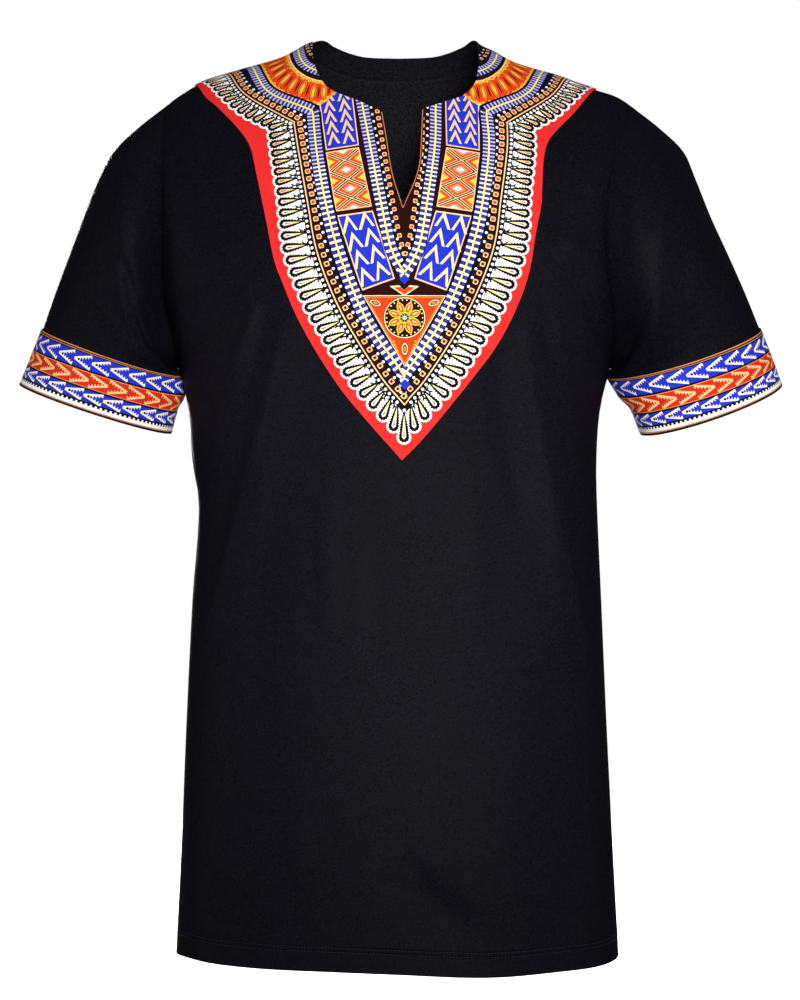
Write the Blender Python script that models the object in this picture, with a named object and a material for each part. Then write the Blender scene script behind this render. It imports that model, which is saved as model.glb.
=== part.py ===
"""A long printed tunic, worn by nobody: eight sewn pieces, each a thin closed wall.

Metres, Z up. The origin is the middle of the neck opening, level with the two
points where the shoulder seams meet the neck. The front faces -Y and the hem
hangs towards -Z. Left and right are as seen from the front (left is -X).
"""

import math
from collections import namedtuple

import bpy
from mathutils import Vector

JERSEY_WALL = 0.0016
COTTON_WALL = 0.0012
SEAM_GAP = 0.0003
UNDERARM_DROP = 0.310
CHEST_ROUNDING = 0.26  # drop over which the chest reaches its full depth
BACK_ROUNDING = 0.20
SHOULDER_ROUNDING = 0.05
SLOPE_FADE = 0.33  # drop at which rows have become level
SIDE_BLUNTNESS = 0.80
NECK_REACH = 0.11  # how far out the hollow under the neck goes
FRONT_HOLLOW, BACK_HOLLOW = 0.28, 0.12

# columns of cloth in each half of a body panel, and rows of it
ARMHOLE_STEPS, SIDE_STEPS, HEM_STEPS = 10, 9, 6
YOKE_ROWS, SKIRT_ROWS = 5, 8
HALF = ARMHOLE_STEPS + SIDE_STEPS + HEM_STEPS
SLIT_STEPS = 8
ARMHOLE_SHARE = 0.66  # of an inner edge, the part whose rows run to the armhole

# The body's rounds, by their drop below the shoulder line.
Round = namedtuple("Round", "drop left right front back")
BODY = (
    Round(0.000, 0.2520, 0.2460, 0.112, 0.098),
    Round(0.100, 0.2500, 0.2420, 0.117, 0.104),
    Round(0.200, 0.2380, 0.2260, 0.123, 0.109),
    Round(0.270, 0.2210, 0.2100, 0.125, 0.109),
    Round(0.310, 0.2095, 0.2005, 0.124, 0.107),
    Round(0.352, 0.1995, 0.1905, 0.122, 0.104),
    Round(0.400, 0.1960, 0.1872, 0.119, 0.101),
    Round(0.440, 0.1897, 0.1878, 0.118, 0.100),
    Round(0.530, 0.1957, 0.1917, 0.118, 0.102),
    Round(0.646, 0.2014, 0.1967, 0.121, 0.108),
    Round(0.760, 0.2060, 0.2024, 0.124, 0.113),
    Round(0.900, 0.2130, 0.2100, 0.127, 0.116),
)

# How far the shoulder line has fallen, by the distance from the middle.
Fall = namedtuple("Fall", "out left right")
SHOULDER = (
    Fall(0.000, 0.020, 0.020),
    Fall(0.040, 0.015, 0.014),
    Fall(0.078, 0.001, -0.001),
    Fall(0.110, -0.0178, -0.0225),
    Fall(0.150, -0.0295, -0.0345),
    Fall(0.185, -0.0402, -0.0470),
    Fall(0.207, -0.0525, -0.0545),
    Fall(0.2230, -0.0645, -0.0650),
    Fall(0.2400, -0.0780, -0.0790),
    Fall(0.2600, -0.0950, -0.0960),
)

# How far down the hem lies, from one side seam to the other.
Hem = namedtuple("Hem", "across front back")
HEM = (
    Hem(-1.0, 0.8652, 0.8652),
    Hem(-0.7, 0.8630, 0.8660),
    Hem(-0.4, 0.8636, 0.8680),
    Hem(0.0, 0.8690, 0.8700),
    Hem(0.4, 0.8718, 0.8690),
    Hem(0.7, 0.8705, 0.8670),
    Hem(1.0, 0.8662, 0.8662),
)

# The armhole seam's distance from the middle, by height.
Hole = namedtuple("Hole", "height left right back_left back_right")
ARMHOLE = (
    Hole(-0.080, 0.2225, 0.2150, 0.2150, 0.2130),
    Hole(-0.110, 0.2215, 0.2020, 0.2050, 0.2010),
    Hole(-0.150, 0.2210, 0.1930, 0.1990, 0.1930),
    Hole(-0.190, 0.2210, 0.1910, 0.1990, 0.1920),
    Hole(-0.230, 0.2210, 0.1950, 0.2030, 0.1955),
    Hole(-0.260, 0.2190, 0.1990, 0.2065, 0.1985),
    Hole(-0.285, 0.2130, 0.2015, 0.2085, 0.2010),
    Hole(-0.298, 0.2105, 0.2012, 0.2095, 0.2015),
)

# The neck's edge and the slit, from the shoulder down to the slit's tip.
Edge = namedtuple("Edge", "left left_height right right_height")
NECK = (
    Edge(-0.0827, -0.0060, 0.0756, -0.0063),
    Edge(-0.0808, -0.0210, 0.0752, -0.0166),
    Edge(-0.0747, -0.0409, 0.0739, -0.0346),
    Edge(-0.0662, -0.0531, 0.0700, -0.0499),
    Edge(-0.0512, -0.0611, 0.0596, -0.0610),
    Edge(-0.0344, -0.0679, 0.0437, -0.0669),
    Edge(-0.0158, -0.0773, 0.0219, -0.0748),
)
SLIT = (
    Edge(-0.0158, -0.0773, 0.0219, -0.0748),
    Edge(-0.0116, -0.1012, 0.0210, -0.0924),
    Edge(-0.0059, -0.1368, 0.0181, -0.1310),
    Edge(0.0037, -0.1690, 0.0037, -0.1690),
)

# The back of the neck from the shoulder to the middle: the band's top edge and
# its seam, each by its distance out and its height.
BackNeck = namedtuple("BackNeck", "top top_height seam seam_height")
BACK_NECK = (
    BackNeck(0.0745, -0.0030, 0.0800, -0.0150),
    BackNeck(0.0620, -0.0085, 0.0640, -0.0225),
    BackNeck(0.0480, -0.0115, 0.0460, -0.0280),
    BackNeck(0.0320, -0.0135, 0.0300, -0.0302),
    BackNeck(0.0001, -0.0146, 0.0001, -0.0320),
)

# The yoke's outer edge, from the shoulder down to its point.
YOKE = (
    Edge(-0.1909, -0.0476, 0.1815, -0.0456),
    Edge(-0.1694, -0.0701, 0.1718, -0.0600),
    Edge(-0.1538, -0.0866, 0.1618, -0.0750),
    Edge(-0.1421, -0.1017, 0.1394, -0.1025),
    Edge(-0.1363, -0.1134, 0.1344, -0.1167),
    Edge(-0.1333, -0.1270, 0.1322, -0.1430),
    Edge(-0.1283, -0.1499, 0.1310, -0.1652),
    Edge(-0.1215, -0.1820, 0.1262, -0.1883),
    Edge(-0.1139, -0.2184, 0.1190, -0.2293),
    Edge(-0.1083, -0.2332, 0.1083, -0.2593),
    Edge(-0.0944, -0.2670, 0.0926, -0.2903),
    Edge(-0.0760, -0.3005, 0.0706, -0.3211),
    Edge(-0.0531, -0.3354, 0.0440, -0.3546),
    Edge(-0.0325, -0.3606, 0.0192, -0.3839),
    Edge(0.0027, -0.4007, 0.0027, -0.4007),
)

# The sleeve's rounds from the armhole to the cuff's hem: the ends of each
# round as seen from the front, its depth before and behind, and how much
# further out the right sleeve stands.
Sleeve = namedtuple("Sleeve", "outer outer_height inner inner_height front back right_outer")
SLEEVE = (
    Sleeve(0.2235, -0.0650, 0.2092, -0.3100, 0.062, 0.066, 0.0000),
    Sleeve(0.2480, -0.0845, 0.2094, -0.3112, 0.074, 0.072, 0.0000),
    Sleeve(0.2700, -0.1060, 0.2096, -0.3124, 0.080, 0.075, 0.0000),
    Sleeve(0.2850, -0.1330, 0.2098, -0.3136, 0.081, 0.075, -0.0030),
    Sleeve(0.2990, -0.1680, 0.2101, -0.3150, 0.078, 0.072, -0.0030),
    Sleeve(0.3130, -0.2050, 0.2105, -0.3164, 0.073, 0.068, 0.0000),
    Sleeve(0.3260, -0.2400, 0.2109, -0.3178, 0.068, 0.064, 0.0025),
    Sleeve(0.3380, -0.2746, 0.2116, -0.3194, 0.064, 0.060, 0.0045),
    Sleeve(0.3485, -0.3015, 0.2125, -0.3455, 0.063, 0.059, 0.0045),
    Sleeve(0.3590, -0.3275, 0.2195, -0.3735, 0.062, 0.058, 0.0035),
)
CUFF_ROW = 7  # the round where the printed band starts
SLEEVE_BULGE = 0.009  # how far the sleeve stands up from its seam under the arm
SLEEVE_LEAN = math.radians(5)  # the front of each round hangs lower
RIGHT_INWARD = 0.0092  # the right sleeve's inner ends sit on a narrower side

# The largest folds: soft ridges from one point to another.
Fold = namedtuple("Fold", "x0 z0 x1 z1 width height")
FRONT_FOLDS = (
    Fold(-0.140, -0.270, -0.185, -0.420, 0.022, 0.007),
    Fold(-0.108, -0.290, -0.170, -0.560, 0.022, 0.007),
    Fold(0.150, -0.400, 0.185, -0.640, 0.024, 0.007),
    Fold(0.140, -0.300, 0.150, -0.560, 0.028, 0.005),
    Fold(0.010, -0.790, 0.070, -0.850, 0.024, -0.005),
)
BACK_FOLDS = (
    Fold(-0.120, -0.250, -0.165, -0.520, 0.024, 0.006),
    Fold(0.110, -0.260, 0.160, -0.560, 0.024, 0.006),
    Fold(0.000, -0.420, 0.020, -0.760, 0.030, 0.005),
)

# Folds that run down the sleeves, by the round and the turn round it where
# each starts and ends: 0 is the outside, 0.25 the front and 0.75 the back.
SleeveFold = namedtuple("SleeveFold", "side row0 turn0 row1 turn1 width height")
SLEEVE_FOLDS = (
    SleeveFold(-1, 1.5, 0.22, 6.0, 0.36, 0.045, -0.0050),
    SleeveFold(-1, 2.0, 0.12, 6.5, 0.24, 0.045, -0.0035),
    SleeveFold(-1, 1.5, 0.78, 6.0, 0.66, 0.045, -0.0045),
    SleeveFold(1, 1.5, 0.14, 6.5, 0.17, 0.045, 0.0040),
    SleeveFold(1, 2.5, 0.28, 6.5, 0.30, 0.045, 0.0045),
    SleeveFold(1, 1.5, 0.80, 6.0, 0.70, 0.045, 0.0045),
)


def between(table, at, key, column):
    """The column's value at a place along the table, through its rows smoothly."""
    rows = [(getattr(r, key), getattr(r, column)) for r in table]
    if rows[0][0] > rows[-1][0]:
        rows.reverse()
    if at <= rows[0][0]:
        i = 0
    elif at >= rows[-1][0]:
        i = len(rows) - 2
    else:
        i = max(j for j in range(len(rows) - 1) if rows[j][0] <= at)

    def slope(j):
        a, b = max(j - 1, 0), min(j + 1, len(rows) - 1)
        return (rows[b][1] - rows[a][1]) / (rows[b][0] - rows[a][0])

    (x0, y0), (x1, y1) = rows[i], rows[i + 1]
    step = x1 - x0
    t = (at - x0) / step
    if t < 0:
        return y0 + slope(i) * (at - x0)
    if t > 1:
        return y1 + slope(i + 1) * (at - x1)
    return (
        (2 * t**3 - 3 * t**2 + 1) * y0
        + (t**3 - 2 * t**2 + t) * step * slope(i)
        + (3 * t**2 - 2 * t**3) * y1
        + (t**3 - t**2) * step * slope(i + 1)
    )


def shoulder_height(x):
    return between(SHOULDER, abs(x), "out", "left" if x < 0 else "right")


def fold_height(folds, x, z):
    """How far the folds stand out of the plain form at a place on it."""
    total = 0.0
    for f in folds:
        along_x, along_z = f.x1 - f.x0, f.z1 - f.z0
        size = along_x**2 + along_z**2
        t = ((x - f.x0) * along_x + (z - f.z0) * along_z) / size
        near = min(max(t, 0.0), 1.0)
        away = math.hypot(x - f.x0 - near * along_x, z - f.z0 - near * along_z)
        fade = math.sin(math.pi * (0.15 + 0.7 * near))
        total += f.height * fade * math.exp(-((away / f.width) ** 2))
    return total


def drop_at(over):
    """How far below the shoulder line a place is, by the way down to it."""
    return math.hypot(over, SHOULDER_ROUNDING) - SHOULDER_ROUNDING


def over_at(drop):
    return math.sqrt((drop + SHOULDER_ROUNDING) ** 2 - SHOULDER_ROUNDING**2)


def body(across, over):
    """A point of the body's form.

    across runs from -1 at the left side seam to 1 at the right one. over is
    the way down from the shoulder line, positive down the front and negative
    down the back.
    """
    front = over >= 0
    drop = drop_at(over)
    turn = across * math.pi / 2
    x = between(BODY, drop, "drop", "left" if across < 0 else "right") * math.sin(turn)
    fade = max(0.0, 1 - drop / SLOPE_FADE) ** 1.5
    z = shoulder_height(x) * fade - drop
    rounding = min(1.0, drop / (CHEST_ROUNDING if front else BACK_ROUNDING))
    hollow = max(0.0, 1 - (x / NECK_REACH) ** 2) ** 2 * (FRONT_HOLLOW if front else BACK_HOLLOW)
    rise = (1 - (1 - rounding) ** 2) ** (0.5 + hollow)
    reach = between(BODY, drop, "drop", "front" if front else "back")
    y = reach * max(0.0, math.cos(turn)) ** SIDE_BLUNTNESS * rise
    soft = min(1.0, 4 * math.cos(turn))
    y += soft * fold_height(FRONT_FOLDS if front else BACK_FOLDS, x, z)
    return Vector((x, -y if front else y, z))


def place(x, z, front=True):
    """The (across, over) of the point seen at x, z on the front or the back."""
    drop = max(0.0, shoulder_height(x) - z)
    for _ in range(30):
        fade = max(0.0, 1 - drop / SLOPE_FADE) ** 1.5
        drop = max(0.0, shoulder_height(x) * fade - z)
    half = between(BODY, drop, "drop", "left" if x < 0 else "right")
    across = math.asin(max(-1.0, min(1.0, x / half))) * 2 / math.pi
    return across, over_at(drop) if front else -over_at(drop)


def by_angle(share):
    return (1 - math.cos(math.pi * share)) / 2


def for_panel(share):
    """Most of an inner edge serves the armhole, so that no row folds over there."""
    reached = ARMHOLE_STEPS / HALF
    if share < reached:
        return ARMHOLE_SHARE * share / reached
    return ARMHOLE_SHARE + (1 - ARMHOLE_SHARE) * (share - reached) / (1 - reached)


def spread(points, steps, law=float):
    """Points along a line through the given ones, spaced by a law."""
    lengths = [0.0]
    for a, b in zip(points, points[1:]):
        lengths.append(lengths[-1] + math.dist(a, b))
    result = []
    for k in range(steps + 1):
        want = lengths[-1] * law(k / steps)
        i = max(j for j in range(len(points) - 1) if lengths[j] <= want + 1e-12)
        t = (want - lengths[i]) / (lengths[i + 1] - lengths[i])
        result.append(tuple(p + (q - p) * t for p, q in zip(points[i], points[i + 1])))
    return result


def side_of(table, side, first=None):
    """One side's line from a table of edges, as places on the front."""
    name = "left" if side < 0 else "right"
    line = [place(getattr(e, name), getattr(e, name + "_height")) for e in table]
    return [first] + line[1:] if first else line


# Where the shoulder seams start at the neck, pass the yoke's end and stop.
SEAM_START = {-1: (-0.0815, 0.006), 1: (0.0755, 0.020)}
SEAM_YOKE = {-1: (-0.1880, 0.006), 1: (0.1780, 0.014)}
SEAM_END = {-1: (-0.2235, 0.002), 1: (0.2228, 0.004)}


def seam_place(ends, side):
    x, over = ends[side]
    half = between(BODY, drop_at(over), "drop", "left" if x < 0 else "right")
    return math.asin(x / half) * 2 / math.pi, over


def armhole(side, front):
    """The armhole seam's places, from the shoulder to the underarm."""
    column = ("" if front else "back_") + ("left" if side < 0 else "right")
    line = [seam_place(SEAM_END, side)]
    for hole in ARMHOLE:
        line.append(place(side * getattr(hole, column), hole.height, front))
    under = over_at(UNDERARM_DROP)
    line.append((side, under if front else -under))
    return spread(line, ARMHOLE_STEPS, by_angle)


def hem_drop(across, front):
    return between(HEM, across, "across", "front" if front else "back")


def outline(side, front):
    """A body panel's outer edge from the shoulder to the middle of the hem."""
    sign = 1 if front else -1
    line = armhole(side, front)
    start = line[-1][1]
    end = sign * over_at(hem_drop(side, front))
    for k in range(1, SIDE_STEPS + 1):
        line.append((side, start + (end - start) * k / SIDE_STEPS))
    for k in range(1, HEM_STEPS + 1):
        across = side * (1 - k / HEM_STEPS)
        line.append((across, sign * over_at(hem_drop(across, front))))
    return line


def halves(make):
    """A whole line from its left half and its right half."""
    left, right = make(-1), make(1)
    return left + right[::-1][1:]


def neck_line(side):
    start = seam_place(SEAM_START, side)
    edge = spread(side_of(NECK, side, start), HALF - SLIT_STEPS)
    return edge + spread(side_of(SLIT, side), SLIT_STEPS)[1:]


def yoke_line(side):
    start = seam_place(SEAM_YOKE, side)
    return spread(side_of(YOKE, side, start), HALF, for_panel)


def rows_between(lines, counts):
    """Rows of places filling the space from line to line."""
    rows = [lines[0]]
    for a, b, count in zip(lines, lines[1:], counts):
        for k in range(1, count + 1):
            t = k / count
            rows.append([tuple(p + (q - p) * t for p, q in zip(u, v)) for u, v in zip(a, b)])
    return rows


def back_neck_line(side, band):
    """The back of the neck: the band's top edge, or its seam with the back."""
    a = seam_place(SEAM_START, side)
    b = seam_place(SEAM_YOKE, side)
    share = band / YOKE_ROWS
    name = "seam" if band else "top"
    line = [(a[0] + (b[0] - a[0]) * share, a[1] + (b[1] - a[1]) * share)]
    for row in BACK_NECK:
        line.append(place(side * getattr(row, name), getattr(row, name + "_height"), False))
    return spread(line, HALF)


def back_mid_line(side):
    start = seam_place(SEAM_YOKE, side)
    line = [
        start,
        place(side * 0.150, -0.120, False),
        place(side * 0.120, -0.230, False),
        place(side * 0.075, -0.340, False),
        place(side * 0.0001, -0.400, False),
    ]
    return spread(line, HALF, for_panel)


def normals_of(grid, closed=False):
    """Outward directions at the points of a grid, from its neighbours."""
    rows, columns = len(grid), len(grid[0])
    result = []
    for i in range(rows):
        line = []
        for j in range(columns):
            before = (j - 1) % columns if closed else max(j - 1, 0)
            after = (j + 1) % columns if closed else min(j + 1, columns - 1)
            a = grid[i][after] - grid[i][before]
            b = grid[min(i + 1, rows - 1)][j] - grid[max(i - 1, 0)][j]
            line.append(b.cross(a).normalized())
        result.append(line)
    return result


def wall(name, grid, normals, low, high, closed=False):
    """A closed wall made from a grid's points, moved out by low and by high."""
    rows, columns = len(grid), len(grid[0])
    verts = [p + n * high for r, m in zip(grid, normals) for p, n in zip(r, m)]
    verts += [p + n * low for r, m in zip(grid, normals) for p, n in zip(r, m)]
    inner = rows * columns
    faces = []
    for i in range(rows - 1):
        for j in range(columns if closed else columns - 1):
            k = (j + 1) % columns
            a, b = i * columns + j, i * columns + k
            c, d = (i + 1) * columns + k, (i + 1) * columns + j
            faces += [(a, d, c), (a, c, b)]
            faces += [(inner + c, inner + d, inner + a), (inner + b, inner + c, inner + a)]
    rim = []
    for j in range(columns if closed else columns - 1):
        k = (j + 1) % columns
        rim.append((j, k))
        rim.append(((rows - 1) * columns + k, (rows - 1) * columns + j))
    if not closed:
        for i in range(rows - 1):
            rim.append(((i + 1) * columns, i * columns))
            rim.append((i * columns + columns - 1, (i + 1) * columns + columns - 1))
    for a, b in rim:
        faces += [(a, b, inner + b), (a, inner + b, inner + a)]
    mesh = bpy.data.meshes.new(name)
    mesh.from_pydata([tuple(v) for v in verts], [], faces)
    inside = sum(f.normal.dot(f.center) * f.area for f in mesh.polygons)
    if inside < 0:
        mesh.flip_normals()
    mesh.shade_smooth()
    piece = bpy.data.objects.new(name, mesh)
    garment.objects.link(piece)
    return piece


def drawn_in(grid, normals, sides):
    """The grid with the named sides drawn in by half a seam's gap."""
    half = SEAM_GAP / 2
    rows, columns = len(grid), len(grid[0])
    result = [[p.copy() for p in row] for row in grid]

    def pull(row, column, to_row, to_column):
        normal = normals[row][column]
        way = grid[to_row][to_column] - grid[row][column]
        way -= normal * way.dot(normal)
        result[row][column] += way.normalized() * half

    for j in range(columns):
        if "top" in sides:
            pull(0, j, 1, j)
        if "bottom" in sides:
            pull(rows - 1, j, rows - 2, j)
    for i in range(rows):
        if "ends" in sides:
            pull(i, 0, i, 1)
            pull(i, columns - 1, i, columns - 2)
    return result


def paint(piece, name, colour, roughness):
    material = bpy.data.materials.get(name) or bpy.data.materials.new(name)
    material.use_nodes = True
    shader = material.node_tree.nodes["Principled BSDF"]
    shader.inputs["Base Color"].default_value = (*colour, 1)
    shader.inputs["Roughness"].default_value = roughness
    material.diffuse_color = (*colour, 1)
    piece.data.materials.append(material)


def outward(across, over):
    """The body's outward direction at a place on it."""
    a = body(max(across - 0.01, -1), over)
    b = body(min(across + 0.01, 1), over)
    way = (b - a).cross(body(across, over + 0.004) - body(across, over - 0.004))
    return -way.normalized()


def lifted(side, count):
    """How the sleeve bulges away from the body round its seam, most under the arm."""
    front, back = armhole(side, True), armhole(side, False)
    result = []
    for j, place_on in enumerate(front + back[::-1][1:-1]):
        low = (1 - math.cos(2 * math.pi * j / count)) / 2
        result.append(outward(*place_on) * SLEEVE_BULGE * low**0.7)
    return result


def sleeve_fold_height(side, row, turn):
    total = 0.0
    for f in SLEEVE_FOLDS:
        if f.side != side or not f.row0 <= row <= f.row1:
            continue
        t = (row - f.row0) / (f.row1 - f.row0)
        middle = f.turn0 + (f.turn1 - f.turn0) * t
        away = (turn - middle + 0.5) % 1.0 - 0.5
        total += f.height * math.sin(math.pi * t) * math.exp(-((away / f.width) ** 2))
    return total


def sleeve_grid(side):
    """The sleeve's rounds, the first of them on the armhole seam."""
    front = [body(*p) for p in armhole(side, True)]
    back = [body(*p) for p in armhole(side, False)]
    seam = front + back[::-1][1:-1]
    count = len(seam)
    grid = []
    for k, s in enumerate(SLEEVE):
        outer_x, inner_x = s.outer, s.inner
        if side > 0:
            outer_x += s.right_outer
            inner_x -= RIGHT_INWARD if k <= CUFF_ROW else 0
        outer = Vector((side * outer_x, 0, s.outer_height))
        inner = Vector((side * inner_x, 0, s.inner_height))
        middle, arm = (outer + inner) / 2, (outer - inner) / 2
        lean = SLEEVE_LEAN * min(1.0, k / CUFF_ROW)
        line = []
        for j in range(count):
            turn = 2 * math.pi * j / count
            depth = s.front if turn <= math.pi else s.back
            out = Vector((0, -math.cos(lean), -math.sin(lean))) * depth * math.sin(turn)
            line.append(middle + arm * math.cos(turn) + out)
        grid.append(line)
    left_over = [p - q for p, q in zip(seam, grid[0])]
    lift = lifted(side, count)
    for k, line in enumerate(grid):
        t = min(1.0, k / (CUFF_ROW - 1))
        share = (1 - t) ** 2 * (1 + 0.6 * t)
        swell = 27 / 4 * t * (1 - t) ** 2  # 1 where it is highest
        for j, miss in enumerate(left_over):
            line[j] = line[j] + miss * share + lift[j] * swell
        centre = sum(line, Vector()) / count
        for j in range(count):
            away = (line[j] - centre).normalized()
            line[j] = line[j] + away * sleeve_fold_height(side, k, j / count)
    return grid


for thing in list(bpy.data.objects):
    bpy.data.objects.remove(thing, do_unlink=True)
for group in list(bpy.data.collections):
    bpy.data.collections.remove(group)
bpy.context.scene.unit_settings.system = "METRIC"
bpy.context.scene.unit_settings.length_unit = "MILLIMETERS"
garment = bpy.data.collections.new("dashiki_shirt")
bpy.context.scene.collection.children.link(garment)

front_rows = rows_between(
    [halves(neck_line), halves(yoke_line), halves(lambda side: outline(side, True))],
    (YOKE_ROWS, SKIRT_ROWS),
)
back_rows = rows_between(
    [
        halves(lambda side: back_neck_line(side, 1)),
        halves(back_mid_line),
        halves(lambda side: outline(side, False)),
    ],
    (YOKE_ROWS - 1, SKIRT_ROWS),
)
band_rows = [
    halves(lambda side: back_neck_line(side, 0)),
    halves(lambda side: back_neck_line(side, 1)),
]

front_grid = [[body(*p) for p in row] for row in front_rows]
back_grid = [[body(*p) for p in row] for row in back_rows]
band_grid = [[body(*p) for p in row] for row in band_rows]
front_out = normals_of(front_grid)
back_out = [[-n for n in row] for row in normals_of(back_grid)]
band_out = [[-n for n in row] for row in normals_of(band_grid)]
sleeves = {side: sleeve_grid(side) for side in (-1, 1)}
sleeve_out = {}
for side, grid in sleeves.items():
    out = normals_of(grid, closed=True)
    sleeve_out[side] = [[n * -side for n in row] for row in out]


def weld(own, other):
    """The direction in which a seam's wall is thickened.

    It is shared by both pieces where they run on into each other, and is the
    piece's own where they meet at more than a right angle or nearly one.
    """
    share = min(1.0, max(0.0, (own.dot(other) - 0.2) / 0.6))
    both = (own + other).normalized() if share else own
    return own.lerp(both, share).normalized()


# Along the shoulder and the sides, front and back share their directions.
last = len(front_grid[0]) - 1
for i in range(len(back_grid)):
    for j in (0, last):
        both = (front_out[i + 1][j] + back_out[i][j]).normalized()
        front_out[i + 1][j] = back_out[i][j] = both
for j in (0, last):
    front_out[0][j] = band_out[0][j] = (front_out[0][j] + band_out[0][j]).normalized()
    band_out[1][j] = back_out[0][j]
for j in range(1, last):
    band_out[1][j] = back_out[0][j] = (band_out[1][j] + back_out[0][j]).normalized()
for j in range(ARMHOLE_STEPS, ARMHOLE_STEPS + SIDE_STEPS + 1):
    for k in (j, last - j):
        both = (front_out[-1][k] + back_out[-1][k]).normalized()
        front_out[-1][k] = back_out[-1][k] = both

front_drawn = drawn_in(front_grid, front_out, ("ends",))
back_drawn = drawn_in(back_grid, back_out, ("top", "ends"))
band_drawn = drawn_in(band_grid, band_out, ("bottom", "ends"))
for grid, out, drawn in (
    (front_grid, front_out, front_drawn),
    (back_grid, back_out, back_drawn),
):
    for j in range(last + 1):
        if min(j, last - j) <= ARMHOLE_STEPS + SIDE_STEPS:
            way = grid[-2][j] - grid[-1][j]
            way -= out[-1][j] * way.dot(out[-1][j])
            drawn[-1][j] += way.normalized() * SEAM_GAP / 2

# At the armhole the sleeve stands off from both body panels.
for side, grid in sleeves.items():
    out = sleeve_out[side]
    count = len(grid[0])
    before = {}
    for j in range(count):
        on_front = j <= ARMHOLE_STEPS
        k = j if on_front else count - j
        column = k if side < 0 else last - k
        panels = [(front_grid, front_out, front_drawn)] if on_front else []
        if not on_front or j in (0, ARMHOLE_STEPS):
            panels.append((back_grid, back_out, back_drawn))
        sleeve_way = (grid[1][j] - grid[0][j]).normalized()
        panel_way = (panels[0][0][-2][column] - grid[0][j]).normalized()
        apart = (sleeve_way - panel_way).normalized()
        own = out[0][j].copy()
        other = panels[0][1][-1][column].copy()
        out[0][j] = weld(own, other)
        for _, panel_out, drawn in panels:
            panel_out[-1][column] = weld(other, own)
            drawn[-1][column] -= apart * SEAM_GAP / 4
        before[j] = apart
    for j, apart in before.items():
        grid[0][j] = grid[0][j] + apart * SEAM_GAP * 0.75

BLACK, PRINT = (0.010, 0.010, 0.013), (0.55, 0.10, 0.05)
paint(wall("front", front_drawn, front_out, -JERSEY_WALL, 0), "black jersey", BLACK, 0.85)
paint(wall("back", back_drawn, back_out, -JERSEY_WALL, 0), "black jersey", BLACK, 0.85)
paint(wall("neckband", band_drawn, band_out, -JERSEY_WALL, 0), "black jersey", BLACK, 0.85)
yoke = slice(0, YOKE_ROWS + 1)
paint(
    wall("yoke", front_drawn[yoke], front_out[yoke], SEAM_GAP, SEAM_GAP + COTTON_WALL),
    "printed cotton",
    PRINT,
    0.7,
)
for side, label in ((-1, "left"), (1, "right")):
    grid, out = sleeves[side], sleeve_out[side]
    piece = wall("sleeve_" + label, grid, out, -JERSEY_WALL, 0, closed=True)
    paint(piece, "black jersey", BLACK, 0.85)
    piece = wall(
        "cuff_" + label,
        grid[CUFF_ROW:],
        out[CUFF_ROW:],
        SEAM_GAP,
        SEAM_GAP + COTTON_WALL,
        closed=True,
    )
    paint(piece, "printed cotton", PRINT, 0.7)
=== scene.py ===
"""A long printed tunic worn by nobody: its cloth, its print, its stitches and its light.

Metres, Z up. The origin is the middle of the neck opening, the front faces -Y
and the hem hangs towards -Z. Left and right are as seen from the front.
"""

import math
from collections import namedtuple
from functools import partialmethod

import bpy
import numpy as np
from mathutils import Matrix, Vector
from mathutils.geometry import delaunay_2d_cdt


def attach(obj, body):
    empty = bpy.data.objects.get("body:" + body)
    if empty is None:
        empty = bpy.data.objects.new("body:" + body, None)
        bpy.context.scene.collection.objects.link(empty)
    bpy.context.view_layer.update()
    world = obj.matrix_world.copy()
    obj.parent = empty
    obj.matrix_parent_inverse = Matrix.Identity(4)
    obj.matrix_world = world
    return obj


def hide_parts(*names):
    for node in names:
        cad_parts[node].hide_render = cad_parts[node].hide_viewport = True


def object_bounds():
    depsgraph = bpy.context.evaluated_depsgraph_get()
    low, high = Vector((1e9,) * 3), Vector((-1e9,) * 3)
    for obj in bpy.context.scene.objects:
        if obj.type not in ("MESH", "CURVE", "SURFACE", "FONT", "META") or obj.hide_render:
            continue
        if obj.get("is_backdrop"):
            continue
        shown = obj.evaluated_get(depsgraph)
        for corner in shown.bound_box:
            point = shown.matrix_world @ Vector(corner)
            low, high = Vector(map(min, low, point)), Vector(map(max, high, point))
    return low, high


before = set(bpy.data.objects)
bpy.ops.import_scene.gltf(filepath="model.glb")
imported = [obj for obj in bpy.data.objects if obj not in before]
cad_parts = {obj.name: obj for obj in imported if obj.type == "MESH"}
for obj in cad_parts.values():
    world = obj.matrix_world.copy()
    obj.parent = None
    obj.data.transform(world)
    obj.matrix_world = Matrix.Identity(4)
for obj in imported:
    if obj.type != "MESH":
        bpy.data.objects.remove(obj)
cad_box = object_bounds()


def in_scene(name, data):
    """A new object that shows its data."""
    made = bpy.data.objects.new(name, data)
    bpy.context.scene.collection.objects.link(made)
    return made


# ---------------------------------------------------------------- camera
CAMERA_PLACE = (0.001, -3.3, -0.437)
VIEW_HEIGHT = 0.95  # what the camera sees at the middle of the tunic

lens_holder = bpy.data.cameras.new("camera")
lens_holder.sensor_fit = "VERTICAL"
lens_holder.sensor_height = 36
lens_holder.lens = 36 * -CAMERA_PLACE[1] / VIEW_HEIGHT
camera = in_scene("camera", lens_holder)
camera.location = CAMERA_PLACE
camera.rotation_euler = (math.pi / 2, 0, 0)
bpy.context.scene.camera = camera
bpy.context.scene.view_settings.view_transform = "Standard"

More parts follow.
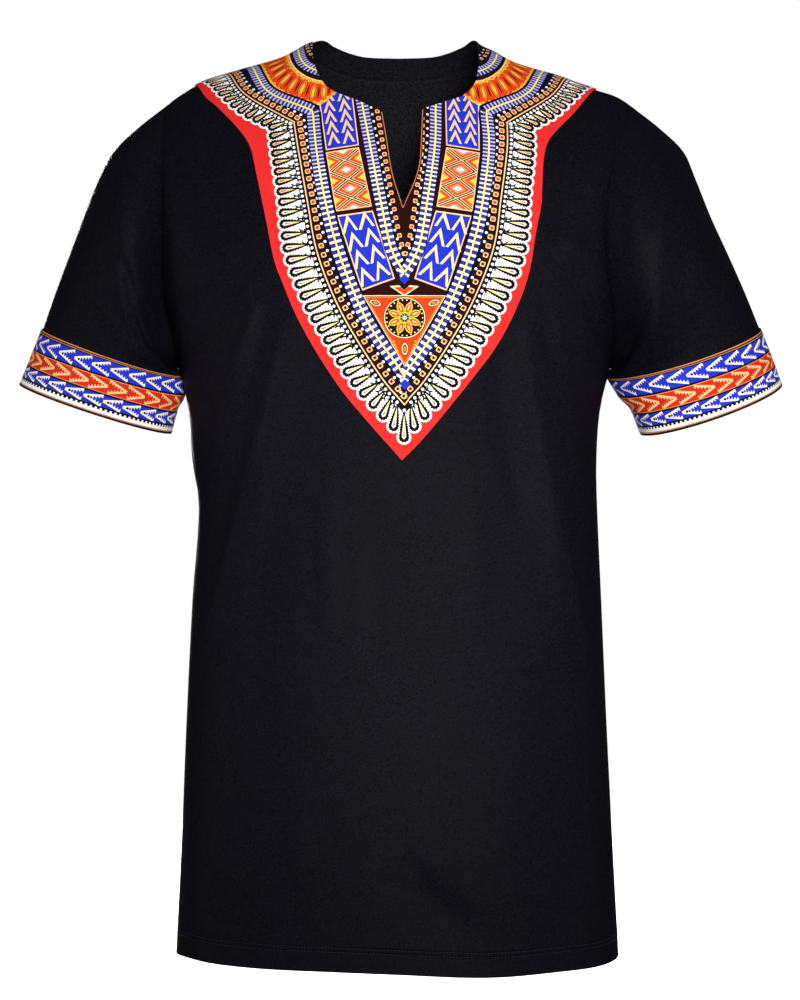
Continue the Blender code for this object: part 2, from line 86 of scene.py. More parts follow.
# ---------------------------------------------------------------- sizes
JERSEY_WALL = 0.0016
COTTON_WALL = 0.0012
SEAM_GAP = 0.0003  # under a piece that lies on another
EDGE_GAP = 0.00002  # between pieces sewn edge to edge
UNDERARM_DROP = 0.310
CHEST_ROUNDING = 0.26  # drop over which the chest reaches its full depth
BACK_ROUNDING = 0.20
SHOULDER_ROUNDING = 0.05
SLOPE_FADE = 0.33  # drop at which rows have become level
SIDE_BLUNTNESS = 0.80
NECK_REACH = 0.11  # how far out the hollow under the neck goes
FRONT_HOLLOW, BACK_HOLLOW = 0.28, 0.12

ARMHOLE_STEPS, SIDE_STEPS, HEM_STEPS = 40, 36, 24
BAND_ROWS, YOKE_ROWS, SKIRT_ROWS = 6, 26, 84
HALF = ARMHOLE_STEPS + SIDE_STEPS + HEM_STEPS
SLIT_STEPS = 32
ARMHOLE_SHARE = 0.66  # of an inner edge, the part whose rows run to the armhole
ACROSS_STEP, OVER_STEP = 0.006, 0.002  # either way, for the body's directions
PLACE_ROUNDS = 40  # to find the place of a point
BAND_SHARE = 0.2  # of the way from the neck to the yoke, the neckband's width
HEM_ROWS = (0.0185, 0.0225)  # how far above the hem its stitches are
BAND_ROWS_OFF = 0.0022  # how far from the neckband's seam its stitches are, either way
YOKE_STITCHES_IN = 0.0022  # how far inside the yoke's edge its stitches are
HEM_THREAD = (0.0032, 0.0024, 0.00045)  # each stitch's pitch, length and thickness
EDGE_THREAD = (0.0030, 0.0022, 0.0004)
CUFF_THREAD = (0.0030, 0.0023, 0.0004)
YOKE_SPACING, CUFF_SPACING = 0.007, 0.005  # of the points inside a printed piece
SLIT_TURNING = 0.0016  # width of the slit's turned edge


def metres(*rows):
    """Rows of millimetres, in metres."""
    return [tuple(round(value / 1000, 6) for value in row) for row in rows]


def together(*parts):
    """Points from their first numbers, their second numbers and so on."""
    return np.stack(np.broadcast_arrays(*parts), axis=-1)


def table(columns, *rows, plain=0):
    """Rows of millimetres in metres, under their columns' names. The plain columns come first."""
    kind = namedtuple("Row", columns)
    lengths = metres(*(row[plain:] for row in rows))
    return [kind(*row[:plain], *rest) for row, rest in zip(rows, lengths)]


BODY = table(
    "drop left right front back",
    (0, 252, 246, 112, 98),
    (100, 250, 242, 117, 104),
    (200, 238, 226, 123, 109),
    (270, 221, 210, 125, 109),
    (310, 209.5, 200.5, 124, 107),
    (352, 199.5, 190.5, 122, 104),
    (400, 196, 187.2, 119, 101),
    (440, 189.7, 187.8, 118, 100),
    (530, 195.7, 191.7, 118, 102),
    (646, 201.4, 196.7, 121, 108),
    (760, 206, 202.4, 124, 113),
    (900, 213, 210, 127, 116),
)
SHOULDER = table(
    "out left right",
    (0, 20, 20),
    (40, 15, 14),
    (70, 3.8, 1.8),
    (78, -1, -5.1),
    (90, -6.8, -10.7),
    (110, -17.8, -22.5),
    (150, -29.5, -34.5),
    (185, -40.2, -47),
    (207, -52.5, -54.5),
    (223, -64.5, -65),
    (240, -78, -79),
    (260, -95, -96),
)
HEM = table(
    "across front back",
    (-1, 865.2, 865.2),
    (-0.8, 864.4, 865.7),
    (-0.6, 866.8, 866.7),
    (-0.4, 868.4, 868),
    (-0.2, 869.2, 869),
    (0, 871.2, 870),
    (0.25, 875, 869.4),
    (0.5, 872.6, 868.4),
    (0.7, 871.2, 867),
    (1, 866.2, 866.2),
    plain=1,
)
ARMHOLE = table(
    "height left right back_left back_right",
    (-80, 222.5, 215, 215, 213),
    (-110, 221.5, 202, 205, 201),
    (-150, 221, 193, 199, 193),
    (-190, 221, 191, 199, 192),
    (-230, 221, 195, 203, 195.5),
    (-260, 219, 199, 206.5, 198.5),
    (-285, 213, 201.5, 208.5, 201),
    (-298, 210.5, 201.2, 209.5, 201.5),
)
NECK = table(
    "left left_height right right_height",
    (-82.7, -6, 75.6, -6.3),
    (-80.8, -21, 75.2, -16.6),
    (-74.7, -40.9, 73.9, -34.6),
    (-66.2, -53.1, 70, -49.9),
    (-51.2, -61.1, 59.6, -61),
    (-34.4, -67.9, 43.7, -66.9),
    (-15.8, -77.3, 21.9, -74.8),
)
SLIT = table(
    "left left_height right right_height",
    (-15.8, -77.3, 21.9, -74.8),
    (-11.6, -101.2, 21, -92.4),
    (-5.9, -136.8, 18.1, -131),
    (3.7, -169, 3.7, -169),
)
BACK_NECK = table(
    "top top_height seam seam_height",
    (73.5, 0.6, 80, -15),
    (69, 0.4, 72, -19.5),
    (62, -3.1, 64, -22.5),
    (48, -7.8, 46, -28),
    (32, -11.1, 30, -30.2),
    (0.1, -12, 0.1, -32),
)
BACK_MIDDLE = table("x height", (150, -120), (120, -230), (75, -340), (0.1, -400))
YOKE = table(
    "left left_height right right_height",
    (-190.5, -50, 184.5, -47),
    (-183, -56.8, 180, -54.5),
    (-169.4, -70.1, 174, -62),
    (-153.8, -86.6, 163, -76),
    (-142.1, -101.7, 139.4, -102.5),
    (-136.3, -113.4, 134.4, -116.7),
    (-133.3, -127, 132.2, -143),
    (-128.3, -149.9, 131, -165.2),
    (-121.5, -182, 126.2, -188.3),
    (-113.9, -218.4, 119, -229.3),
    (-108.3, -233.2, 108.3, -259.3),
    (-94.4, -267, 92.6, -290.3),
    (-76, -300.5, 70.6, -321.1),
    (-53.1, -335.4, 44, -354.6),
    (-32.5, -360.6, 19.2, -383.9),
    (2.7, -400.7, 2.7, -400.7),
)
SLEEVE = table(
    "row outer outer_height inner inner_height front back right_outer right_inner",
    (0, 223.5, -65, 209.2, -310, 62, 66, 0, -9.2),
    (1, 248, -84.5, 209.4, -311.2, 74, 72, 0, -9.2),
    (2, 270, -106, 209.6, -312.4, 80, 75, 0, -9.2),
    (3, 285, -133, 209.8, -313.6, 81, 75, -3, -9.2),
    (4, 299, -168, 210.1, -315, 78, 72, -3, -9.2),
    (5, 313, -205, 210.5, -316.4, 73, 68, 0, -9.2),
    (6, 326, -240, 210.9, -317.8, 68, 64, 2.5, -9.2),
    (7, 338, -274.6, 211.6, -319.4, 64, 60, 4.5, -9.2),
    (8, 348.5, -301.5, 212.5, -345.5, 63, 59, 4.5, 5.5),
    (9, 359, -327.5, 219.5, -373.5, 62, 58, 3.5, 10),
    plain=1,
)
CUFF_ROW, LAST_ROW = 7, 9
SLEEVE_BULGE = 0.009  # how far the sleeve stands up from its seam under the arm
SLEEVE_LEAN = {-1: math.radians(5), 1: math.radians(10.3)}  # the front of each round hangs lower
UNDERARM_FULLNESS = {-1: (0.0074, 0.0020), 1: (0.0046, -0.0008)}  # at the cuff's top and end
FULLNESS_RISE, FULLNESS_RISE_LENGTH = 1.15, 0.9  # how far risen at the cuff's top, and over what
FULLNESS_FALL, FULLNESS_FALL_LENGTH = 0.36, 0.22  # where it falls again, in the cuff's depths
UNDERARM_WIDTH, TUCK_WIDTH = 0.085, 0.07  # of a turn, either side of the underarm
SLEEVE_ROWS = 72

# Soft ridges, and troughs where the height is below 0, from one point to another.
FRONT_FOLDS = table(
    "x0 z0 x1 z1 width height",
    (-140, -270, -185, -420, 22, 7),
    (-108, -290, -170, -560, 22, 7),
    (150, -400, 185, -640, 24, 7),
    (140, -300, 150, -560, 28, 5),
    (10, -790, 70, -850, 24, -5),
)
BACK_FOLDS = table(
    "x0 z0 x1 z1 width height",
    (-120, -250, -165, -520, 24, 6),
    (110, -260, 160, -560, 24, 6),
    (0, -420, 20, -760, 30, 5),
)
# Finer creases, each bent at its middle point.
FRONT_CREASES = table(
    "x0 z0 x1 z1 x2 z2 width height",
    (-131, -256, -155, -327, -182, -440, 5.5, 2.7),
    (-119, -254, -138, -341, -172, -485, 9, -3.2),
    (-108, -278, -142, -419, -186, -578, 5, 2.4),
    (115, -273, 135, -388, 156, -511, 10, 3.2),
    (154, -474, 169, -539, 188, -620, 6, 2.9),
    (143, -250, 154, -303, 160, -330, 4, 1.5),
    (131, -273, 139, -304, 150, -335, 7, -2.5),
    (93, -295, 96, -364, 118, -464, 12, -2.9),
    (170, -255, 185, -275, 200, -301, 6, -4.6),
    (150, -196, 178, -217, 198, -252, 10, 2.6),
    (164, -280, 180, -300, 192, -326, 7, 1.6),
    (180, -146, 159, -169, 139, -195, 10, -2.6),
    (191, -164, 173, -192, 150, -217, 12, 2),
    (-140, -194, -169, -222, -200, -252, 12, 2.2),
    (-157, -230, -176, -248, -194, -270, 10, -2),
    (-124, -225, -150, -252, -179, -284, 9, 1.3),
    (0, -750, 29, -797, 70, -830, 8, -1),
    (16, -746, 48, -787, 89, -817, 10, 0.6),
    (-16, -791, 6, -793, 31, -800, 6, -0.4),
    (-196, -815, -155, -828, -103, -828, 6, -0.8),
    (137, -702, 152, -770, 164, -849, 20, -1.8),
    (178, -715, 183, -761, 187, -798, 8, 0.6),
    (91, -596, 114, -591, 139, -584, 4, 1),
    (-64, -410, -65, -492, -62, -565, 10, 1.4),
    (16, -419, 18, -529, 14, -629, 12, 1.4),
    (-24, -437, -20, -519, -24, -602, 12, -1.3),
    (66, -410, 70, -492, 73, -565, 12, 1.3),
    (-90, -675, -93, -739, -90, -794, 12, 1.3),
    (-124, -492, -130, -583, -124, -657, 12, -1.3),
)
SLEEVE_CREASES = table(
    "x0 z0 x1 z1 x2 z2 width height",
    (-273, -184, -248, -238, -223, -288, 6, -2.6),
    (-260, -191, -240, -237, -229, -268, 6, 1.3),
    (-244, -195, -232, -218, -223, -242, 6, -2.4),
    (-283, -232, -265, -262, -248, -294, 7, -1.8),
    (-294, -216, -277, -251, -260, -288, 8, 1.3),
    (243, -110, 246, -164, 238, -229, 5, 1.3),
    (275, -152, 277, -209, 270, -267, 6, 1.5),
    (287, -200, 285, -216, 281, -237, 4, 0.9),
    (304, -216, 304, -256, 312, -288, 5, 1.3),
    (230, -126, 232, -158, 225, -195, 7, -1.5),
    (260, -158, 264, -205, 259, -251, 9, -1.8),
    (295, -223, 297, -251, 295, -274, 6, -1.3),
    (208, -139, 205, -186, 208, -223, 6, -2.6),
    (206, -228, 212, -270, 216, -316, 10, -4.4),
)
BACK_CREASES = table(
    "x0 z0 x1 z1 x2 z2 width height",
    (-150, -230, -172, -320, -190, -450, 6, 2.1),
    (-128, -240, -150, -360, -178, -520, 9, -2.7),
    (135, -235, 160, -340, 176, -480, 6, 2.1),
    (112, -260, 132, -380, 158, -560, 9, -2.7),
    (-120, -120, -90, -170, -40, -210, 12, -1.8),
    (125, -110, 95, -160, 50, -205, 12, 1.8),
    (-40, -380, -46, -480, -36, -600, 12, 1.5),
    (34, -400, 40, -520, 30, -640, 12, -1.5),
    (-150, -800, -80, -825, -10, -815, 8, -2.4),
    (60, -760, 110, -800, 150, -850, 9, -2.7),
)
SLEEVE_FOLDS = table(
    "side row0 turn0 row1 turn1 width height",
    (-1, 1.5, 0.22, 6, 0.36, 0.045, -5),
    (-1, 2, 0.12, 6.5, 0.24, 0.045, -3.5),
    (-1, 1.5, 0.78, 6, 0.66, 0.045, -4.5),
    (1, 1.5, 0.14, 6.5, 0.17, 0.045, 4),
    (1, 2.5, 0.28, 6.5, 0.3, 0.045, 4.5),
    (1, 1.5, 0.8, 6, 0.7, 0.045, 4.5),
    plain=6,
)


# ---------------------------------------------------------------- the form
def through(xs, ys, at):
    """Values off a smooth line through knots, which runs on straight past its ends."""
    xs, ys = np.asarray(xs, float), np.asarray(ys, float)
    rise = np.empty_like(ys)
    rise[1:-1] = (ys[2:] - ys[:-2]) / (xs[2:] - xs[:-2])
    rise[0] = (ys[1] - ys[0]) / (xs[1] - xs[0])
    rise[-1] = (ys[-1] - ys[-2]) / (xs[-1] - xs[-2])
    i = np.clip(np.searchsorted(xs, at, side="right") - 1, 0, len(xs) - 2)
    step = xs[i + 1] - xs[i]
    t = np.clip((at - xs[i]) / step, 0, 1)
    inside = (
        (2 * t**3 - 3 * t**2 + 1) * ys[i]
        + (t**3 - 2 * t**2 + t) * step * rise[i]
        + (3 * t**2 - 2 * t**3) * ys[i + 1]
        + (t**3 - t**2) * step * rise[i + 1]
    )
    before = np.minimum(at - xs[0], 0) * rise[0]
    after = np.maximum(at - xs[-1], 0) * rise[-1]
    return inside + before + after


def between(table, at, key, column):
    rows = sorted((getattr(row, key), getattr(row, column)) for row in table)
    xs, ys = zip(*rows)
    return through(xs, ys, at)


def by_side(table, at, key, x):
    return np.where(x < 0, between(table, at, key, "left"), between(table, at, key, "right"))


def shoulder_height(x):
    return by_side(SHOULDER, np.abs(x), "out", x)


def drop_at(over):
    return np.hypot(over, SHOULDER_ROUNDING) - SHOULDER_ROUNDING


def over_at(drop):
    return np.sqrt((drop + SHOULDER_ROUNDING) ** 2 - SHOULDER_ROUNDING**2)


def slope_left(drop):
    """How much of the shoulder's slope is left in a row of cloth."""
    return np.maximum(0.0, 1 - drop / SLOPE_FADE) ** 1.5


def bump(away):
    """A soft hump: 1 in its middle, and little past 2."""
    return np.exp(-(away**2))


def fold_height(folds, x, z):
    total = np.zeros_like(x)
    for f in folds:
        along_x, along_z = f.x1 - f.x0, f.z1 - f.z0
        t = ((x - f.x0) * along_x + (z - f.z0) * along_z) / (along_x**2 + along_z**2)
        near = np.clip(t, 0, 1)
        away = np.hypot(x - f.x0 - near * along_x, z - f.z0 - near * along_z)
        fade = np.sin(math.pi * (0.15 + 0.7 * near))
        total += f.height * fade * bump(away / f.width)
    return total


def crease_height(creases, x, z):
    total = np.zeros_like(x)
    share = np.linspace(0, 1, 9)
    start, bend, end = (1 - share) * (1 - 2 * share), 4 * share * (1 - share), share * (2 * share - 1)
    for c in creases:
        line_x = start * c.x0 + bend * c.x1 + end * c.x2
        line_z = start * c.z0 + bend * c.z1 + end * c.z2
        reach = 3 * c.width
        near = (x > line_x.min() - reach) & (x < line_x.max() + reach)
        near &= (z > line_z.min() - reach) & (z < line_z.max() + reach)
        here_x, here_z = x[near][:, None], z[near][:, None]
        step_x, step_z = np.diff(line_x), np.diff(line_z)
        t = (here_x - line_x[:-1]) * step_x + (here_z - line_z[:-1]) * step_z
        t = np.clip(t / (step_x**2 + step_z**2), 0, 1)
        away = np.hypot(here_x - line_x[:-1] - t * step_x, here_z - line_z[:-1] - t * step_z)
        piece = away.argmin(axis=1)
        row = np.arange(len(piece))
        along = (piece + t[row, piece]) / len(step_x)
        fade = (4 * along * (1 - along)) ** 0.7
        total[near] += c.height * fade * bump(away[row, piece] / c.width)
    return total


def body(across, over):
    """Points of the body's form.

    across runs from -1 at the left side seam to 1 at the right one. over is
    the way down from the shoulder line, positive down the front and negative
    down the back.
    """
    front = over >= 0
    drop = drop_at(over)
    turn = across * math.pi / 2
    x = by_side(BODY, drop, "drop", across) * np.sin(turn)
    z = shoulder_height(x) * slope_left(drop) - drop
    rounding = np.minimum(1.0, drop / np.where(front, CHEST_ROUNDING, BACK_ROUNDING))
    hollow = np.maximum(0.0, 1 - (x / NECK_REACH) ** 2) ** 2
    hollow = hollow * np.where(front, FRONT_HOLLOW, BACK_HOLLOW)
    rise = (1 - (1 - rounding) ** 2) ** (0.5 + hollow)
    depths = (between(BODY, drop, "drop", name) for name in ("front", "back"))
    reach = np.where(front, *depths)
    y = reach * np.maximum(0.0, np.cos(turn)) ** SIDE_BLUNTNESS * rise
    ahead = fold_height(FRONT_FOLDS, x, z) + crease_height(FRONT_CREASES, x, z)
    behind = fold_height(BACK_FOLDS, x, z) + crease_height(BACK_CREASES, x, z)
    folds = np.where(front, ahead, behind)
    y += np.minimum(1.0, 4 * np.cos(turn)) * folds
    return together(x, np.where(front, -y, y), z)


def unit(vectors):
    return vectors / np.maximum(np.linalg.norm(vectors, axis=-1, keepdims=True), 1e-12)


def outward(across, over):
    """The body's outward directions at places on it."""
    a = body(np.maximum(across - ACROSS_STEP, -1), over)
    b = body(np.minimum(across + ACROSS_STEP, 1), over)
    return -unit(np.cross(b - a, body(across, over + OVER_STEP) - body(across, over - OVER_STEP)))


def place(x, z, front=True):
    """The (across, over) of a point seen at x, z on the front or the back."""
    drop = np.maximum(0.0, shoulder_height(x) - z)
    for _ in range(PLACE_ROUNDS):
        drop = np.maximum(0.0, shoulder_height(x) * slope_left(drop) - z)
    half = by_side(BODY, drop, "drop", x)
    across = np.arcsin(np.clip(x / half, -1, 1)) * 2 / math.pi
    return across, over_at(drop) if front else -over_at(drop)


def flat_of(across, over):
    """Where a place on the front lies when the cloth is spread out: x and the way down."""
    drop = drop_at(over)
    x = by_side(BODY, drop, "drop", across) * np.sin(across * math.pi / 2)
    return together(x, over - shoulder_height(x) * slope_left(drop))


def place_of(flat):
    """The places on the front of points given on the cloth spread out."""
    x, down = flat[..., 0], flat[..., 1]
    over = down.copy()
    for _ in range(PLACE_ROUNDS):
        over = down + shoulder_height(x) * slope_left(drop_at(over))
    half = by_side(BODY, drop_at(over), "drop", x)
    return np.arcsin(np.clip(x / half, -1, 1)) * 2 / math.pi, over


# ---------------------------------------------------------------- lines and rows
def lengths_of(points):
    steps = np.linalg.norm(np.diff(points, axis=0), axis=1)
    return np.concatenate(([0.0], np.cumsum(steps)))


def read_off(points, run, at):
    """Places along a line, from how far along it each of its points is."""
    return together(*(np.interp(at, run, column) for column in points.T))


def spread(points, steps, law=None):
    """Places on a smooth line through the given ones, spaced evenly or by a law."""
    points = np.asarray(points, float)
    lengths = lengths_of(points)
    share = np.linspace(0, 1, steps + 1)
    at = lengths[-1] * (law(share) if law else share)
    return together(*(through(lengths, column, at) for column in points.T))


def by_angle(share):
    return (1 - np.cos(math.pi * share)) / 2


def for_panel(share):
    """Most of an inner edge serves the armhole, so that no row folds over there."""
    reached = ARMHOLE_STEPS / HALF
    first = ARMHOLE_SHARE * share / reached
    rest = ARMHOLE_SHARE + (1 - ARMHOLE_SHARE) * (share - reached) / (1 - reached)
    return np.where(share < reached, first, rest)


def side_of(table, side, first=None):
    name = "left" if side < 0 else "right"
    line = [place(getattr(e, name), getattr(e, name + "_height")) for e in table]
    return [first] + line[1:] if first else line


# The shoulder seam's points on the left (-1) and on the right (1), as x and the way down:
# where it starts at the neck, where the yoke's corner is, and where it meets the armhole.
SEAM_START = {-1: (-0.0815, 0.006), 1: (0.0755, 0.027)}
SEAM_YOKE = {-1: (-0.1935, 0.006), 1: (0.1870, 0.010)}
SEAM_END = {-1: (-0.2235, 0.002), 1: (0.2228, 0.004)}


def seam_place(ends, side):
    x, over = ends[side]
    half = by_side(BODY, drop_at(over), "drop", x)
    return math.asin(x / half) * 2 / math.pi, over


def armhole(side, front):
    """The armhole seam's places, from the shoulder to the underarm."""
    column = ("" if front else "back_") + ("left" if side < 0 else "right")
    line = [seam_place(SEAM_END, side)]
    for hole in ARMHOLE:
        line.append(place(side * getattr(hole, column), hole.height, front))
    under = over_at(UNDERARM_DROP)
    line.append((side, under if front else -under))
    return spread(line, ARMHOLE_STEPS, by_angle)


def hem_line(side, front):
    """The hem's places from one side seam to the middle."""
    across = side * (1 - np.arange(HEM_STEPS + 1) / HEM_STEPS)
    over = over_at(between(HEM, across, "across", "front" if front else "back"))
    return together(across, over if front else -over)


def outline(side, front):
    """A body panel's outer edge from the shoulder to the middle of the hem."""
    hole, hem = armhole(side, front), hem_line(side, front)
    share = np.arange(1, SIDE_STEPS)[:, None] / SIDE_STEPS
    seam = hole[-1] + (hem[0] - hole[-1]) * share
    return np.concatenate((hole, seam, hem))


def halves(make, *others):
    """A line made for the left, and on from the middle as made for the right."""
    return np.concatenate((make(-1, *others), make(1, *others)[::-1][1:]))


def neck_line(side):
    edge = spread(side_of(NECK, side, seam_place(SEAM_START, side)), HALF - SLIT_STEPS)
    return np.concatenate((edge, spread(side_of(SLIT, side), SLIT_STEPS)[1:]))


def yoke_line(side):
    return spread(side_of(YOKE, side, seam_place(SEAM_YOKE, side)), HALF, for_panel)


def rows_between(lines, counts):
    rows = [lines[0]]
    for a, b, count in zip(lines, lines[1:], counts):
        rows += [a + (b - a) * k / count for k in range(1, count + 1)]
    return np.array(rows)


def back_neck_line(side, sewn):
    """The back of the neck: the band's top edge, or its seam with the back."""
    a, b = np.array(seam_place(SEAM_START, side)), np.array(seam_place(SEAM_YOKE, side))
    name = "seam" if sewn else "top"
    line = [tuple(a + (b - a) * BAND_SHARE * sewn)]
    for row in BACK_NECK:
        line.append(place(side * getattr(row, name), getattr(row, name + "_height"), False))
    return spread(line, HALF)


def back_mid_line(side):
    line = [place(side * row.x, row.height, False) for row in BACK_MIDDLE]
    return spread([seam_place(SEAM_YOKE, side), *line], HALF, for_panel)


def grid_faces(rows, columns, closed=False):
    """The four-cornered faces of a grid of points."""
    index = np.arange(rows * columns).reshape(rows, columns)
    after = np.roll(index, -1, axis=1) if closed else index[:, 1:]
    here = index if closed else index[:, :-1]
    corners = (here[:-1], here[1:], after[1:], after[:-1])
    return np.stack([c.ravel() for c in corners], axis=-1)


def nearest(points, line):
    """How far each point is from a line's points."""
    result = np.full(len(points), 9.0)
    for start in range(0, len(line), 64):
        gaps = np.linalg.norm(points[:, None] - line[None, start : start + 64], axis=-1)
        result = np.minimum(result, gaps.min(axis=1))
    return result


# ---------------------------------------------------------------- cloth as a thin wall
def scatter(indices, values, count):
    total = np.zeros((count, values.shape[-1]))
    np.add.at(total, indices, values)
    return total


def rim_of(faces, count):
    """The edges that only one face has, and which face that is."""
    edges = [together(faces[:, k - 1], faces[:, k]) for k in range(faces.shape[1])]
    edges = np.concatenate(edges)
    key = np.sort(edges, axis=1) @ np.array([count, 1])
    _, first, times = np.unique(key, return_index=True, return_counts=True)
    alone = first[times == 1]
    return edges[alone], alone % len(faces)


def wound(points, out, faces):
    """The faces, turned so that they look outward."""
    a, b, c = (points[faces[:, k]] for k in range(3))
    looks_out = (np.cross(b - a, c - a) * out[faces[:, 0]]).sum() > 0
    return faces if looks_out else faces[:, ::-1]


# The corner and the size of each part of the picture map, and the heights of the rim's strip.
OUTSIDE_PART = ((0.01, 0.05), (0.78, 0.94))
UNDERSIDE_PART = ((0.81, 0.05), (0.18, 0.94))
RIM_STRIP = (0.030, 0.030, 0.010, 0.010)


def new_mesh(name, verts, faces):
    mesh = bpy.data.meshes.new(name)
    mesh.from_pydata(verts, [], faces)
    mesh.shade_smooth()
    return mesh


def shell(name, outer, low, high, dyes=None, measures=None, inner=None):
    """A closed thin wall on a surface, from low to high off it.

    outer holds points, their outward directions, their places on the cloth
    spread out, and faces. inner is the same for an underside with fewer
    faces, whose points start with the rim's in the rim's order. dyes is each
    outer face's colour. measures are distances that the finish reads.
    """
    points, out, cloth, faces = outer
    count = len(points)
    faces = wound(points, out, faces)
    rim, owner = rim_of(faces, count)
    p, q = rim.T
    away = np.cross(unit(points[q] - points[p]), unit(out[p] + out[q]))
    away = unit(scatter(p, away, count) + scatter(q, away, count))
    shift = np.zeros_like(points)
    shift[rim.ravel()] = away[rim.ravel()] * EDGE_GAP / 2

    under, under_out, under_cloth, under_faces = inner or outer
    under_faces = wound(under, under_out, under_faces)[:, ::-1]
    below, under_shift = np.arange(count), shift
    if inner:
        rim_points = np.unique(rim)
        below = np.zeros(count, int)
        below[rim_points] = np.arange(len(rim_points))
        under_shift = np.zeros_like(under)
        under_shift[: len(rim_points)] = shift[rim_points]
    verts = np.concatenate((points - shift + out * high, under - under_shift + under_out * low))
    rim_faces = together(q, p, below[p] + count, below[q] + count)
    every = faces.tolist() + (under_faces + count).tolist() + rim_faces.tolist()
    mesh = new_mesh(name, verts.tolist(), every)

    tilt = [unit(out * 0.7 + away)[q], unit(out * 0.7 + away)[p]]
    tilt += [unit(away - out * 0.7)[p], unit(away - out * 0.7)[q]]
    normals = [out[faces.ravel()], -under_out[under_faces.ravel()]]
    normals.append(np.stack(tilt, axis=1).reshape(-1, 3))
    mesh.normals_split_custom_set(np.concatenate(normals).tolist())

    rim_cloth = np.stack((cloth[q], cloth[p], cloth[p], cloth[q]), axis=1).reshape(-1, 2)
    lie = np.concatenate((cloth[faces.ravel()], under_cloth[under_faces.ravel()], rim_cloth))
    mesh.uv_layers.new(name="cloth").data.foreach_set("uv", lie.ravel())
    start = np.arange(len(rim)) / len(rim)
    end = start + 0.8 / len(rim)
    strip = [together(u, v) for u, v in zip((end, start, start, end), RIM_STRIP)]
    picture = (
        fitted(cloth, *OUTSIDE_PART)[faces.ravel()],
        fitted(under_cloth, *UNDERSIDE_PART)[under_faces.ravel()],
        np.stack(strip, axis=1).reshape(-1, 2),
    )
    mesh.uv_layers.new(name="OFBake").data.foreach_set("uv", np.concatenate(picture).ravel())
    mesh.uv_layers.active = mesh.uv_layers["cloth"]

    if dyes is not None:
        parts = [np.repeat(dyes, faces.shape[1], axis=0)]
        parts.append(np.tile(DYES["white"], (under_faces.size, 1)))
        parts.append(np.repeat(dyes[owner], 4, axis=0))
        layer = mesh.color_attributes.new("dye", "FLOAT_COLOR", "CORNER")
        layer.data.foreach_set("color", np.concatenate(parts).ravel())
    if measures:
        numbers = {label: np.tile(values, 2) for label, values in measures.items()}
        # 1 on the underside, which the black jersey paints lighter: painted light standing in for the light
        # on the shirt's inside
        numbers["inside"] = np.repeat((0.0, 1.0), count)
        for label, values in numbers.items():
            mesh.attributes.new(label, "FLOAT", "POINT").data.foreach_set("value", values)
    return in_scene(name, mesh)


def fitted(cloth, corner, size):
    """Places on the cloth, fitted to a part of the picture map."""
    share = (cloth - cloth.min(axis=0)) / np.ptp(cloth, axis=0)
    return share * np.array(size) + np.array(corner)


def stitches(name, lines, pitch, length, thickness):
    """Short threads lying along lines, each line its points and their outward directions."""
    quarters = np.arange(4) * math.pi / 2
    ring = together(np.cos(quarters), np.sin(quarters)) * thickness / 2
    verts, faces = [], []
    for points, out in lines:
        run = lengths_of(points)
        for at in np.arange(pitch / 2, run[-1] - pitch / 2, pitch):
            middle, ahead = (read_off(points, run, here) for here in (at, at + pitch / 4))
            up, way = unit(read_off(out, run, at)), unit(ahead - middle)
            side, sunk = np.cross(up, way), up * thickness * 0.3
            base = len(verts)
            verts.append(middle - way * length / 2 - sunk)
            for end in (middle - way * length / 4, middle + way * length / 4):
                verts += [end + side * across + up * rise + sunk for across, rise in ring]
            verts.append(middle + way * length / 2 - sunk)
            for k in range(4):
                m = (k + 1) % 4
                faces.append((base, base + 1 + m, base + 1 + k))
                faces.append((base + 1 + k, base + 1 + m, base + 5 + m, base + 5 + k))
                faces.append((base + 5 + k, base + 5 + m, base + 9))
    return in_scene(name, new_mesh(name, [tuple(v) for v in verts], faces))


# ---------------------------------------------------------------- dyes
def dye(red, green, blue):
    """A dye by its everyday 0 to 255 numbers, as light."""
    shares = np.array([red, green, blue]) / 255
    light = np.where(shares <= 0.04045, shares / 12.92, ((shares + 0.055) / 1.055) ** 2.4)
    return (*light, 1.0)


DYES = {
    "red": dye(232, 46, 42),
    "white": dye(250, 250, 250),
    "black": dye(14, 10, 12),
    "brown": dye(38, 10, 8),
    "maroon": dye(62, 12, 16),
    "tan": dye(214, 142, 92),
    "peach": dye(252, 208, 150),
    "cream": dye(252, 228, 170),
    "ivory": dye(252, 244, 226),
    "straw": dye(244, 204, 138),
    "orange": dye(236, 132, 52),
    "fire": dye(240, 66, 22),
    "scarlet": dye(212, 44, 22),
    "rust": dye(170, 34, 12),
    "clay": dye(186, 76, 36),
    "yellow": dye(250, 236, 136),
    "gold": dye(255, 214, 60),
    "blue": dye(36, 52, 196),
    "navy": dye(58, 52, 158),
    "lilac": dye(206, 200, 240),
    "mauve": dye(200, 172, 176),
    "plum": dye(120, 92, 112),
    "ink": dye(14, 12, 30),
}


